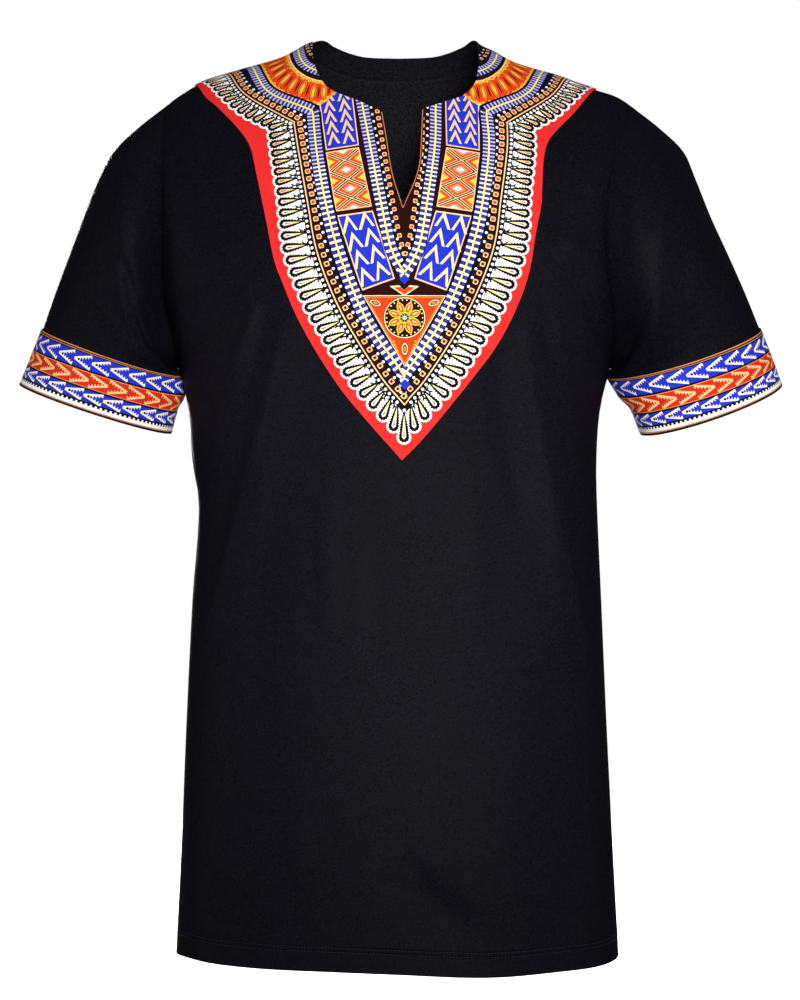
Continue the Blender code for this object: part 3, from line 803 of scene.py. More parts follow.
# ---------------------------------------------------------------- laying out the print
# The print's lines down the left side of the yoke, from the shoulder to the tip:
# the round ends of the drops, their points, the chain of squares, the ladder.
STATIONS = table(
    "drop drop_down point point_down chain chain_down ladder ladder_down",
    (-180, 64.7, -163.6, 60.5, -155.1, 50.3, -141.6, 27.2),
    (-166.5, 91.4, -151.6, 87.4, -145.2, 79.8, -131.7, 70.6),
    (-146.2, 115.4, -134.2, 106, -129.5, 98, -117.6, 94.5),
    (-119.9, 131.7, -104, 125.9, -92.4, 123.9, -80, 115.9),
    (-116.6, 160.2, -99.6, 156.8, -87.3, 157.6, -75.9, 157.5),
    (-109.1, 207.4, -92.5, 204.9, -79.1, 205.1, -68, 204.3),
    (-103, 254, -83.5, 250.9, -70.1, 253, -56.5, 250.6),
    (-85.5, 301.9, -66, 294, -53.9, 296.6, -41.8, 291.1),
    (-65.8, 337.7, -47.3, 330, -34.7, 332.8, -25.1, 326.2),
    (-38, 381.2, -22.4, 372.7, -11, 369.6, -0.9, 361.2),
    (4.5, 428.2, 4.5, 404.3, 5, 388.7, 5.5, 371.2),
)
CORNER, TIP = 3, len(STATIONS) - 1  # where the lines turn down from the shoulder, and end
TIP_AT = np.array((STATIONS[TIP].chain, STATIONS[TIP].chain_down))
TOP = -0.7  # the station just past the shoulder seam
DOWN = np.linspace(TOP, TIP, 500)
# The middle of the print, which leans a little, by the way down.
AXIS = table("down x", (0, -1), (100, -0.4), (150, 3.2), (200, 4.5), (240, 5.3), (300, 5), (450, 4.5))
FINE_ABOVE, COARSE_BELOW = 0.17, 0.25  # the way down over which repeats widen
# The lines round the shoulder's panel and the neck, in the same way.
SHOULDER_ARCS = table(
    "outer outer_down inner inner_down",
    (-134.9, 25.5, -103.5, 20),
    (-131, 52, -101, 48),
    (-123.2, 77, -96.5, 63),
    (-112, 93, -89, 73.5),
    (-96.4, 104, -80, 80),
    (-74.7, 110.3, -70, 83.5),
    (-58.7, 97.6, -59, 85),
)
NECK_LADDER = metres((-95, 16), (-94.4, 33), (-91.8, 51), (-86.8, 61.8), (-78, 69.2), (-66, 74.5))
NECK_CHAIN = metres((-86.8, 10), (-86.2, 28.5), (-83.8, 43), (-79, 52))
SLIT_CHAIN = metres((-21.3, 109.5), (-12.5, 166.4), (-4.6, 213.3), (0.5, 240.1), (4.7, 257.1))
SLIT_DOTS = metres((-26.8, 109), (-16.5, 166), (-8.3, 209.5), (-4.6, 231.5), (1, 252))
INNER_LADDER = metres(
    (-36.2, 99), (-25.9, 156.4), (-17, 205.6), (-9.3, 243.9), (-6.8, 253), (-1.5, 264), (5, 274.5)
)
PEAK_PANEL = metres((-75.2, 98), (-43.8, 94), (-37, 152.3), (-67.4, 157.1))
LOZENGE_PANEL = metres((-67.4, 159.1), (-36.9, 154.3), (-24.8, 212.3), (-57.8, 217))
LOWER_PEAK_PANEL = metres((-56.9, 220.8), (-23.9, 216.2), (-3.7, 280.5), (-33.8, 291.6))
TIP_PANEL = metres((-32.9, 295.8), (43, 295.8), (5.5, 362))
# How far apart repeats are, above and below.
FRINGE_PITCH = (0.0094, 0.0115)
STRING_PITCH = (0.0043, 0.0053)
CHAIN_PITCH = (0.0070, 0.0089)
LADDER_PITCH = (0.0037, 0.0062)
SLIT_PITCH = (0.0074, 0.0088)
NECK_PITCH, NECK_LADDER_PITCH = (0.0068, 0.0068), (0.0036, 0.0036)
PEACH_AT, STRING_AT, STRING_EDGE = 0.0051, 0.0087, 0.0108  # outward from the chain
PEACH_LINE = (0.0045, 0.0057)
YELLOW_HALF = 0.0009  # half the width of the line up a ladder's middle
PEAK_THICK, LOWER_PEAK_THICK = 0.078, 0.082


def station(column, t=DOWN):
    """The places of one of the print's lines at stations."""
    parts = []
    for name in (column, column + "_down"):
        knots = np.array([getattr(row, name) for row in STATIONS])
        upper = through(np.arange(CORNER + 1), knots[: CORNER + 1], t)
        lower = through(np.arange(CORNER, TIP + 1), knots[CORNER:], t)
        parts.append(np.where(t < CORNER, upper, lower))
    return together(*parts)


def middle_of(line):
    """The points of the print's middle that are level with a line's."""
    return together(between(AXIS, line[:, 1], "down", "x"), line[:, 1])


def how_low(down):
    return np.clip((down - FINE_ABOVE) / (COARSE_BELOW - FINE_ABOVE), 0, 1)


def pitch_at(down, pitch):
    return pitch[0] + (pitch[1] - pitch[0]) * how_low(down)


def read_at(points, places):
    return read_off(points, np.arange(len(points)), places)


def along(points, pitch, first=0.0):
    """Where repeats fall on a line, counted in its points, from its last one up."""
    run = lengths_of(points[::-1])
    result, at = [], first
    while at < run[-1]:
        result.append(len(points) - 1 - np.interp(at, run, np.arange(len(points))))
        at += pitch_at(read_at(points, result[-1])[1], pitch)
    return np.array(result)


def repeats(points, pitch, first=0.0):
    """The places and the directions of repeats along a line."""
    places = along(points, pitch, first)
    ways = unit(read_at(points, places + 0.7) - read_at(points, places - 0.7))
    return zip(read_at(points, places), ways)


def beside(points, off):
    """A line of the left half moved sideways, outward where off is above 0."""
    way = np.gradient(points, axis=0)
    return points + unit(together(-way[:, 1], way[:, 0])) * off


# Each shape of the print is a colour and an outline. A later one covers those before it.
def ribbon(colour, a, b, every=4):
    """A strip of cloth between two lines, in short lengths."""
    picks = sorted(set(range(0, len(a), every)) | {len(a) - 1})
    return [(colour, np.array((a[i], a[j], b[j], b[i]))) for i, j in zip(picks, picks[1:])]


def band(colour, line, low, high):
    """A strip of cloth along a line, between two distances off it."""
    return ribbon(colour, beside(line, low), beside(line, high))


def laid(shape, middle, way):
    """A small shape set down at a place, with its first axis along a way."""
    shape = np.asarray(shape, float)
    side = np.array((-way[1], way[0]))
    return middle + shape[:, :1] * way + shape[:, 1:] * side


def disc(radius, corners=8):
    angles = (np.arange(corners) + 0.5) * math.tau / corners
    return together(np.cos(angles), np.sin(angles)) * radius


def bar(x0, x1, y0, y1):
    return np.array(((x0, y0), (x1, y0), (x1, y1), (x0, y1)))


def leaf(length, width, corners=10):
    angles = np.arange(corners) * math.tau / corners
    rise = np.sin(angles)
    return together(np.cos(angles) * length / 2, rise * np.abs(rise) ** 0.5 * width / 2)


def drop_shape(start, end, width, corners=20, tooth=0.0):
    """A drop with its point at start and its round end at end, perhaps toothed."""
    long, radius = end - start, width / 2
    bulb = long - radius
    x = np.linspace(0, bulb, 30)
    angles = np.linspace(math.pi / 2, 0, 12)[1:]
    x = np.concatenate((x, bulb + radius * np.cos(angles)))
    y = np.concatenate((radius * (x[:30] / bulb) ** 0.8, radius * np.sin(angles)))
    side = together(x, y)
    run = lengths_of(side)
    side = read_off(side, run, np.linspace(0, run[-1], corners // 2 + 1))
    whole = np.concatenate((side, (side * (1, -1))[-2:0:-1]))
    way = np.roll(whole, -1, axis=0) - np.roll(whole, 1, axis=0)
    away = unit(together(-way[:, 1], way[:, 0]))
    out = np.where(np.arange(len(whole)) % 2 == 1, tooth, 0.0)
    out *= np.clip(whole[:, 0] / long * 4 - 0.8, 0, 1)
    return whole + away * out[:, None] + (start, 0)


def chain(points, pitch, size):
    """Hollow squares with soft corners, strung along a line."""
    for middle, way in repeats(points, pitch):
        heart = "clay" if middle[1] < COARSE_BELOW else "brown"
        for colour, share in (("peach", 1.0), ("orange", 0.68), (heart, 0.46)):
            half, cut = size * share / 2, size * share * 0.34
            corner = np.array(((half, cut), (cut, half), (-cut, half), (-half, cut)))
            yield colour, laid(np.concatenate((corner, -corner)), middle, way)


def dots(points, pitch, radius, first=0.0):
    for middle, _ in repeats(points, pitch, first):
        yield "white", middle + disc(radius)


def ladder(points, pitch, half):
    """Blue blocks and pale bars on either side of where a yellow line goes."""
    yield from band("ink", points, -half - 0.0022, half + 0.0010)
    for middle, way in repeats(points, pitch, 0.002):
        step = pitch_at(middle[1], pitch)
        pale = "lilac" if middle[1] < FINE_ABOVE else "white"
        for side in (-1, 1):
            block = bar(-step * 0.25, step * 0.25, side * 0.0020, side * half * 0.97)
            yield "navy", laid(block, middle, way)
            rung = bar(step * 0.30, step * 0.70, side * 0.0010, side * half)
            yield pale, laid(rung, middle, way)


def in_panel(corners, places):
    """Points of a four-cornered panel by their shares across and down it."""
    a, b, c, d = (np.asarray(p) for p in corners)
    places = np.asarray(places, float)
    u, v = places[..., :1], places[..., 1:]
    return (a + (b - a) * u) * (1 - v) + (d + (c - d) * u) * v


def framed(corners, inner_colour):
    for colour, u, v in (("peach", 0.0, 0.0), (inner_colour, 0.036, 0.020)):
        yield colour, in_panel(corners, bar(u, 1 - u, v, 1 - v))


def peak(apex, left_foot, right_foot, thick):
    """An arrowhead's corners, from how far its feet are from its apex."""
    a, left, right = (np.array(p, float) for p in (apex, left_foot, right_foot))
    down = np.array((0.0, thick * (left[1] + right[1]) / (right[0] - left[0])))
    inward = np.array((thick / 2, 0.0))
    corners = (a + left - inward, a - down / 2, a + right + inward)
    corners += (a + right - inward, a + down / 2, a + left + inward)
    return np.array(corners)


def upper_peaks():
    """A blue panel with two columns of plain peaks."""
    yield from framed(PEAK_PANEL, "blue")
    for row in range(5):
        for column, u in enumerate((0.27, 0.72)):
            v = 0.735 + 0.012 * column - 0.188 * row
            shape = peak((u, v), (-0.150, 0.190), (0.150, 0.180), PEAK_THICK)
            yield "peach", in_panel(PEAK_PANEL, shape)


def lower_peaks():
    """A blue panel with two columns of tall peaks that turn as they go down."""
    yield from framed(LOWER_PEAK_PANEL, "blue")
    for row in range(4):
        for column in (0, 1):
            across, down = 0.275 + 0.480 * column, 0.045 - 0.014 * column
            apex = np.array((across - 0.024 * row, down + 0.236 * row))
            left = np.array((-0.255 + 0.032 * row, 0.205))
            right = np.array((0.130 + 0.030 * row, 0.185))
            shape = peak(apex, left, right, LOWER_PEAK_THICK)
            yield "cream", in_panel(LOWER_PEAK_PANEL, shape)
            for foot, inward in ((left, 0.020), (right, -0.020)):
                for k in range(6):
                    spot = apex + foot * (0.20 + 0.145 * k) + (inward * 0.4, 0.010)
                    yield "gold", in_panel(LOWER_PEAK_PANEL, spot) + disc(0.00055, 4)
                    notch = apex + foot * (0.27 + 0.145 * k) + (inward * 1.9, 0.022)
                    yield "blue", in_panel(LOWER_PEAK_PANEL, notch) + disc(0.00062, 4)


def nested(points, layers, middle=None):
    """A shape within itself, smaller and smaller."""
    points = np.asarray(points, float)
    middle = points.mean(axis=0) if middle is None else np.array(middle)
    return [(colour, middle + (points - middle) * share) for share, colour in layers]


# Each layer's share of the whole, and colour.
LOZENGE = ((0.95, "brown"), (0.81, "peach"), (0.73, "fire"), (0.48, "peach"), (0.41, "fire"), (0.30, "white"))
SIDE_LOZENGE = ((0.94, "brown"), (0.80, "peach"), (0.71, "fire"), (0.46, "orange"), (0.36, "gold"))


def lozenges():
    """A panel crossed by pale lines, with lozenges within lozenges between them."""
    yield from framed(LOZENGE_PANEL, "peach")
    left, right, top, low = 0.03, 0.97, 0.02, 0.98
    third, sixth = (low - top) / 3, (low - top) / 6
    parts = []
    for v in (top + third, top + 2 * third):
        whole = ((left, v), (0.5, v - sixth), (right, v), (0.5, v + sixth))
        parts.append((whole, LOZENGE, (0.5, v)))
    for v, inward in ((top, sixth), (low, -sixth)):
        parts.append((((left, v), (0.5, v + inward), (right, v)), LOZENGE, (0.5, v)))
    for v in (top + sixth, 0.5, low - sixth):
        for u in (left, right):
            parts.append((((u, v - sixth), (0.5, v), (u, v + sixth)), SIDE_LOZENGE, (u, v)))
    for points, layers, middle in parts:
        for colour, shape in nested(points, layers, middle):
            yield colour, in_panel(LOZENGE_PANEL, shape)


# What is drawn on the scallops between two drops.
TWIGS = (
    bar(-0.0015, 0.0050, -0.0008, 0.0008),
    bar(0.0004, 0.0019, -0.0025, 0.0025),
    np.array(((0.0036, -0.0006), (0.0060, -0.0024), (0.0068, -0.0014), (0.0046, 0.0006))),
    np.array(((0.0036, 0.0006), (0.0046, -0.0006), (0.0068, 0.0014), (0.0060, 0.0024))),
)


def fringe():
    """Toothed drops on white scallops, and the string of dots that they hang from."""
    ends, points, chain_line = station("drop"), station("point"), station("chain")
    edge = beside(chain_line, STRING_EDGE)
    spots = along((ends + points) / 2, FRINGE_PITCH)
    yield from ribbon("white", ends, edge)
    drops = []
    for share in spots:
        outer, inner = read_at(ends, share), read_at(points, share)
        way = unit(outer - inner)
        low = float(how_low(inner[1]))
        wide = 0.0077 + 0.0009 * low
        outer = outer + way * (0.0012 + 0.0016 * low)
        inner = inner - way * 0.0022
        yield "white", outer - way * wide / 2 + disc(wide / 2 + 0.0025, 16)
        drops += one_drop(inner, way, np.linalg.norm(outer - inner), wide, low)
    for share in spots - 0.5 * (spots[0] - spots[1]):
        inner = read_at(edge, share)
        way = unit(read_at(ends, share) - inner)
        narrowed = pitch_at(inner[1], FRINGE_PITCH) / FRINGE_PITCH[1]
        for twig in TWIGS:
            yield "black", laid(twig * (1, narrowed), inner, way)
    yield from ribbon("black", edge, beside(chain_line, PEACH_AT))
    yield from drops
    yield from dots(beside(chain_line, STRING_AT), STRING_PITCH, 0.0015)


def one_drop(inner, way, long, wide, low):
    """A drop: its toothed outline, its pale ring, its warm point and its cool heart."""
    corners = 2 * round(long / 0.0011)
    yield "black", laid(bar(-0.0030, 0.0040, -0.0010, 0.0010), inner, way)
    yield "black", laid(drop_shape(-0.0010, long, wide, corners, 0.0010), inner, way)
    ring, heart = ("cream", "white") if low > 0.4 else ("peach", "mauve")
    for colour, start, end, across in (
        (ring, 0.0038, long - 0.0022, wide - 0.0045),
        ("yellow", 0.0046, long * 0.62, wide * 0.25),
        (heart, long * 0.46, long - 0.0030, wide - 0.0060),
        ("navy" if low > 0.4 else "plum", long * 0.54, long - 0.0042, wide * 0.15),
    ):
        yield colour, laid(drop_shape(start, end, across, 12), inner, way)


def outer_bands():
    chain_line, rungs = station("chain"), station("ladder")
    yield from ribbon("brown", beside(chain_line, PEACH_AT), rungs)
    yield from ribbon("ink", beside(chain_line, -0.0034), rungs)
    yield from band("peach", chain_line, *PEACH_LINE)
    yield from chain(chain_line, CHAIN_PITCH, 0.0047)
    yield from dots(beside(chain_line, -0.0043), CHAIN_PITCH, 0.0014, 0.0010)


def middle_ground():
    """The dark grounds inside the two ladders."""
    for line in (station("ladder", np.linspace(TOP, TIP, 120)), spread(INNER_LADDER, 60)):
        yield from ribbon("brown", line, middle_of(line))


# Each layer's colour, radius and corners.
RING_DOT = (("fire", 0.0024, 10), ("gold", 0.0017, 10), ("orange", 0.0008, 6))
# Each layer's colour, share of the panel's depth, and width.
LEAF = (("rust", 0.76, 0.0078), ("orange", 0.71, 0.0062), ("fire", 0.58, 0.0042), ("gold", 0.46, 0.0024))
DART = (("maroon", 0.52, 0.0016),)


def shoulder_panel():
    """A warm panel on the shoulder, with upright leaves side by side."""
    outer = spread([(row.outer, row.outer_down) for row in SHOULDER_ARCS], 120)
    inner = spread([(row.inner, row.inner_down) for row in SHOULDER_ARCS], 120)
    across = inner - outer
    for colour, edge in (("cream", 0), ("gold", 0.04), ("fire", 0.13)):
        yield from ribbon(colour, outer + across * edge, outer + across * (1 - edge))
    for share, first in ((0.12, 0.003), (0.88, 0.005)):
        for middle, _ in repeats(outer + across * share, NECK_PITCH, first):
            for colour, radius, corners in RING_DOT:
                yield colour, middle + disc(radius, corners)
    for k, share in enumerate(np.linspace(2, 118, 21)):
        low, high = read_at(outer, share), read_at(inner, share)
        long = np.linalg.norm(high - low)
        for colour, size, wide in DART if k % 2 else LEAF:
            yield colour, laid(leaf(long * size, wide), (low + high) / 2, unit(high - low))
    line, inner_line = spread(NECK_LADDER, 90), spread(NECK_CHAIN, 90)
    yield from band("ink", line, 0.0070, -0.0200)
    yield from ladder(line, NECK_LADDER_PITCH, 0.0052)
    yield from band("yellow", line, -YELLOW_HALF, YELLOW_HALF)
    yield from chain(inner_line, NECK_PITCH, 0.0034)
    yield from dots(beside(inner_line, -0.0042), NECK_PITCH, 0.0011, 0.0035)


def slit_bands():
    yield from ladder(spread(INNER_LADDER, 200), LADDER_PITCH, 0.0052)
    yield from chain(spread(SLIT_CHAIN, 160), SLIT_PITCH, 0.0040)
    yield from dots(spread(SLIT_DOTS, 160), SLIT_PITCH, 0.00125, 0.0002)


def ring_of(middle, radius, count, first=0.0):
    """Places in a ring, and the ways out to them."""
    for k in range(count):
        angle = (k + first) * math.tau / count
        way = np.array((math.cos(angle), math.sin(angle)))
        yield middle + way * radius, way


FLOWER = np.array((0.0052, 0.3166))
# Each layer's distance from the middle, length, width and colour.
PETAL = (
    (0.0097, 0.0120, 0.0068, "gold"),
    (0.0097, 0.0098, 0.0048, "fire"),
    (0.0101, 0.0062, 0.0016, "cream"),
)
# Each leaf's place, turn and length.
CORNER_LEAVES = (
    (-0.0215, 0.3028, 0.35, 0.0130),
    (0.0319, 0.3028, math.pi - 0.35, 0.0130),
    (0.0054, 0.3452, math.pi / 2, 0.0140),
)


def tip_panel():
    """A flower in a dark ring of dots, between leaves, on the panel over the yoke's point."""
    frame_layers = ((1.0, "cream"), (0.965, "brown"), (0.945, "orange"), (0.90, "fire"))
    yield from nested(TIP_PANEL, frame_layers)
    for radius, colour in ((0.0196, "brown"), (0.0189, "cream"), (0.0180, "brown")):
        yield colour, FLOWER + disc(radius, 40)
    for spot, _ in ring_of(FLOWER, 0.0165, 26):
        yield "peach", spot + disc(0.0008, 6)
    for out, length, wide, colour in PETAL:
        for spot, way in ring_of(FLOWER, out, 8, 0.5):
            yield colour, laid(leaf(length, wide), spot, way)
    for radius, colour in ((0.0052, "gold"), (0.0043, "brown"), (0.0019, "white")):
        yield colour, FLOWER + disc(radius, 14)
    for spot, _ in ring_of(FLOWER, 0.0032, 8):
        yield "peach", spot + disc(0.0006, 5)
    for x, down, turn, size in CORNER_LEAVES:
        way = np.array((math.cos(turn), math.sin(turn)))
        for colour, share in (("brown", 1.0), ("cream", 0.84), ("brown", 0.62), ("orange", 0.40)):
            shape = leaf(size * share, size * share * 0.5, 12)
            yield colour, laid(shape, np.array((x, down)), way)
    for x, lean in ((-0.0045, 0.0010), (0.0152, -0.0010)):
        for k in range(4):
            yield "gold", (x + lean * k, 0.3385 + 0.0028 * k) + disc(0.0008, 5)


def corner_of_bands():
    """What fills the bands' corner at the yoke's point, under the bands."""
    white = metres((0, 35), (-15, 23), (-9, -4), (9, -4), (15, 23))
    yield "white", TIP_AT + white
    up = np.array((0.0090, -0.0107))
    slant = np.linalg.norm(up) / up[0]
    for colour, off in (("black", STRING_EDGE), ("peach", PEACH_LINE[1]), ("brown", PEACH_LINE[0])):
        low = np.array((0, off * slant))
        yield colour, TIP_AT + np.array((low, up * (-1, 1) + low, (0, -0.012), up + low))


def points_of_ladders():
    """The lozenges and the small arrow under the ladders' points."""
    for x, down, size in ((0.0050, 0.2808, 0.0048), (0.0055, 0.3778, 0.0050)):
        yield "blue", np.array(((0, -1), (1, 0), (0, 1), (-1, 0))) * size + (x, down)
    half = metres((-13.5, -8), (-4.725, -8.8), (0, -4), (4.725, -8.8), (13.5, -8), (0, 1.2))
    tip = np.array((0.0050, 0.2954))
    yield from nested(tip + half, ((1.0, "cream"), (0.72, "fire")), tip + (0.0, -0.0036))


def mirrored(shapes):
    for colour, points in shapes:
        yield colour, together(2 * middle_of(points)[:, 0] - points[:, 0], points[:, 1])


def yoke_print():
    left = [*fringe(), *outer_bands(), *middle_ground()]
    panels = [*upper_peaks(), *lozenges(), *lower_peaks(), *shoulder_panel()]
    panels += [*ladder(station("ladder"), LADDER_PITCH, 0.0056), *slit_bands()]
    lines = []
    for line in (station("ladder"), spread(INNER_LADDER, 200)):
        lines += band("yellow", line, -YELLOW_HALF, YELLOW_HALF)
    whole = [*corner_of_bands(), *left, *mirrored(left), *panels, *mirrored(panels)]
    whole += [*lines, *mirrored(lines), *tip_panel(), *points_of_ladders()]
    return whole + [("white", TIP_AT + (0, STRING_AT * 1.5) + disc(0.0016))]


def joined_up(outlines, spacing):
    """Triangles that keep every line of some outlines, with a grid of points between."""
    verts, edges = [], []
    for points in outlines:
        first, count = len(verts), len(points)
        verts += [Vector(p) for p in points.tolist()]
        edges += [(first + k, first + (k + 1) % count) for k in range(count)]
    low, high = outlines[0].min(axis=0), outlines[0].max(axis=0)
    for x in np.arange(low[0] + spacing, high[0], spacing):
        verts += [Vector((x, y)) for y in np.arange(low[1] + spacing, high[1], spacing)]
    made = delaunay_2d_cdt(verts, edges, [], 0, 2e-6, True)
    flat, triangles = np.array([tuple(v) for v in made[0]]), np.array(made[2])
    triangles = triangles[inside(outlines[0], flat[triangles].mean(axis=1))]
    used, triangles = np.unique(triangles, return_inverse=True)
    return flat[used], triangles.reshape(-1, 3)


def inside(outline, points):
    """Which points an outline goes round."""
    odd = np.zeros(len(points), bool)
    for (x0, y0), (x1, y1) in zip(outline, np.roll(outline, -1, axis=0)):
        if y0 != y1:
            level = (y0 > points[:, 1]) != (y1 > points[:, 1])
            odd ^= level & (points[:, 0] < x0 + (points[:, 1] - y0) * (x1 - x0) / (y1 - y0))
    return odd


def cut_out(border, shapes, spacing):
    """Printed cloth as triangles, each in the dye that was laid on it last."""
    flat, triangles = joined_up([border] + [points for _, points in shapes], spacing)
    middles = flat[triangles].mean(axis=1)
    order = np.argsort(middles[:, 0])
    ordered = middles[order]
    colours = np.tile(DYES["red"], (len(triangles), 1))
    for colour, points in shapes:
        low, high = points.min(axis=0), points.max(axis=0)
        first, last = np.searchsorted(ordered[:, 0], (low[0], high[0]))
        near = np.arange(first, last)
        near = near[(ordered[near, 1] > low[1]) & (ordered[near, 1] < high[1])]
        colours[order[near[inside(points, ordered[near])]]] = DYES[colour]
    return flat, triangles, colours


# ---------------------------------------------------------------- finishes
class Value:
    """A number in a node tree. Sums with it make Math nodes."""

    def __init__(self, socket):
        self.socket = socket

    def then(self, operation, other=0.0, clamp=False):
        inputs = {0: self, 1: other}
        tree = self.socket.id_data
        return Value(add_node(tree, "ShaderNodeMath", inputs, operation=operation, use_clamp=clamp)[0])

    __add__ = partialmethod(then, "ADD")
    __sub__ = partialmethod(then, "SUBTRACT")
    __mul__ = partialmethod(then, "MULTIPLY")
    __truediv__ = partialmethod(then, "DIVIDE")


def fill(node, inputs):
    """Sets a node's inputs, or joins them up, by their names or numbers."""
    for key, value in inputs.items():
        if isinstance(value, Value):
            value = value.socket
        if isinstance(value, bpy.types.NodeSocket):
            node.id_data.links.new(value, node.inputs[key])
        else:
            node.inputs[key].default_value = value


def add_node(tree, kind, inputs=None, **settings):
    """A new node's outputs."""
    made = tree.nodes.new(kind)
    for name, value in settings.items():
        setattr(made, name, value)
    fill(made, inputs or {})
    return made.outputs


def add_group(tree, group, inputs=None):
    outputs = add_node(tree, "ShaderNodeGroup", inputs, node_tree=group)
    return {socket.name: Value(socket) for socket in outputs}


def attribute(tree, name, output="Fac"):
    return Value(add_node(tree, "ShaderNodeAttribute", attribute_name=name)[output])


def mixed(tree, share, a, b, blend="MIX"):
    inputs = {0: share, 6: a, 7: b}
    return add_node(tree, "ShaderNodeMix", inputs, data_type="RGBA", blend_type=blend)[2]


def bumped(tree, height, distance, strength=1.0, normal=None):
    inputs = {"Height": height, "Distance": distance, "Strength": strength}
    if normal is not None:
        inputs["Normal"] = normal
    return add_node(tree, "ShaderNodeBump", inputs)["Normal"]


def new_group(name, inputs, outputs):
    """A group of nodes. Its inputs are numbers, but for one without a number, which is a place."""
    group = bpy.data.node_groups.new(name, "ShaderNodeTree")
    for label, value in inputs.items():
        kind = "NodeSocketVector" if value is None else "NodeSocketFloat"
        socket = group.interface.new_socket(label, in_out="INPUT", socket_type=kind)
        if value is not None:
            socket.default_value = value
    for label in outputs:
        group.interface.new_socket(label, in_out="OUTPUT", socket_type="NodeSocketFloat")
    given = group.nodes.new("NodeGroupInput").outputs
    return group, given, group.nodes.new("NodeGroupOutput")


def knit_group():
    """Columns of small knitted loops: how high they stand, and the painted shade that this gives them,
    lighter on their tops and darker between them.
    """
    inputs = {"Place": None, "Column Width": 0.0009, "Loop Height": 0.0007}
    group, given, result = new_group("knitted loops", inputs, ("Height", "Shade"))
    apart = add_node(group, "ShaderNodeSeparateXYZ", {0: given["Place"]})
    x, y = Value(apart[0]) / given["Column Width"], Value(apart[1]) / given["Loop Height"]
    side = (x.then("FRACT") - 0.5).then("ABSOLUTE")
    loop = ((y + side * 1.6) * math.tau).then("SINE")
    height = (loop * 0.3 + 0.5) * (side * math.tau).then("SINE")
    fill(result, {"Height": height, "Shade": height * 0.5 + 0.75})
    return group


def weave_group():
    """Threads over and under each other: how high they stand, and the painted shade that this gives them,
    lighter where a thread lies on top.
    """
    inputs = {"Place": None, "Thread": 0.0004}
    group, given, result = new_group("plain weave", inputs, ("Height", "Shade"))
    apart = add_node(group, "ShaderNodeSeparateXYZ", {0: given["Place"]})
    x, y = (Value(apart[k]) / given["Thread"] for k in (0, 1))
    over = ((x.then("FLOOR") + y.then("FLOOR")) * 0.5).then("FRACT") * 2.0
    warp, weft = ((way * math.pi).then("SINE").then("ABSOLUTE") for way in (x, y))
    height = warp * over + weft * (over * -1.0 + 1.0)
    fill(result, {"Height": height, "Shade": height * 0.14 + 0.90})
    return group


def unevenness_group():
    """Soft cloudy patches and fine specks, as wear and lint leave them; on the printed cotton the patches
    also give a painted sheen.
    """
    inputs = {"Patch Scale": 14.0, "Speck Scale": 700.0}
    names = ("Patches", "Specks", "Crumple", "Grain")
    group, given, result = new_group("cloth unevenness", inputs, names)
    where = add_node(group, "ShaderNodeTexCoord")["Object"]

    def noise(scale, detail, **others):
        inputs = {"Vector": where, "Scale": scale, "Detail": detail, **others}
        return Value(add_node(group, "ShaderNodeTexNoise", inputs)["Fac"])

    patches, crumple = noise(given["Patch Scale"], 4.0), noise(38.0, 3.0, Distortion=0.6)
    specks = (noise(given["Speck Scale"], 2.0) - 0.70).then("MULTIPLY", 12.0, True)
    grain = (noise(620.0, 2.0, Roughness=0.8) - 0.5) * 4.5 + 1.0
    fill(result, dict(zip(names, (patches, specks, crumple, grain))))
    return group


def groove_group():
    """A fine groove at a distance from an edge."""
    inputs = {"Distance": 1.0, "At": 0.0, "Width": 0.001}
    group, given, result = new_group("sewn groove", inputs, ("Depth",))
    share = (Value(given["Distance"]) - given["At"]) / given["Width"]
    fill(result, {"Depth": (share * share * -1.0).then("EXPONENT")})
    return group


KNIT, WEAVE = knit_group(), weave_group()
UNEVEN, GROOVE = unevenness_group(), groove_group()


def new_material(name, inputs):
    material = bpy.data.materials.new(name)
    material.use_nodes = True
    shader = material.node_tree.nodes["Principled BSDF"]
    fill(shader, inputs)
    return material, material.node_tree, shader


def jersey_material():
    """Soft black cotton knit."""
    material, tree, shader = new_material("black jersey", {"Specular IOR Level": 0.024})
    place_on = add_node(tree, "ShaderNodeUVMap", uv_map="cloth")["UV"]
    knit, uneven = add_group(tree, KNIT, {"Place": place_on}), add_group(tree, UNEVEN)
    ground = mixed(tree, uneven["Patches"], dye(11, 10, 16), dye(13, 12, 19))
    # The inside is painted lighter than the outside: painted light, standing in for the light that reaches
    # the shirt's inside
    ground = mixed(tree, attribute(tree, "inside"), ground, dye(27, 26, 31))
    # Painted shade: the cloth is darker in the hollows between the loops
    lit = mixed(tree, 1.0, ground, knit["Shade"], "MULTIPLY")
    lit = mixed(tree, 1.0, lit, uneven["Grain"], "MULTIPLY")
    linted = mixed(tree, uneven["Specks"] * 0.10, lit, dye(96, 96, 104))
    seam, hem = attribute(tree, "from_seam"), attribute(tree, "from_hem")
    pressed = add_group(tree, GROOVE, {"Distance": seam, "Width": 0.0022})["Depth"]
    for at in HEM_ROWS:
        row = add_group(tree, GROOVE, {"Distance": hem, "At": at, "Width": 0.0010})
        pressed = pressed + row["Depth"]
    normal = bumped(tree, pressed * -1.0, 0.0007)
    normal = bumped(tree, uneven["Crumple"], 0.0009, 0.5, normal)
    normal = bumped(tree, knit["Height"], 0.00009, 0.6, normal)
    rough = uneven["Patches"] * 0.12 + 0.44
    fill(shader, {"Base Color": linted, "Normal": normal, "Roughness": rough})
    return material


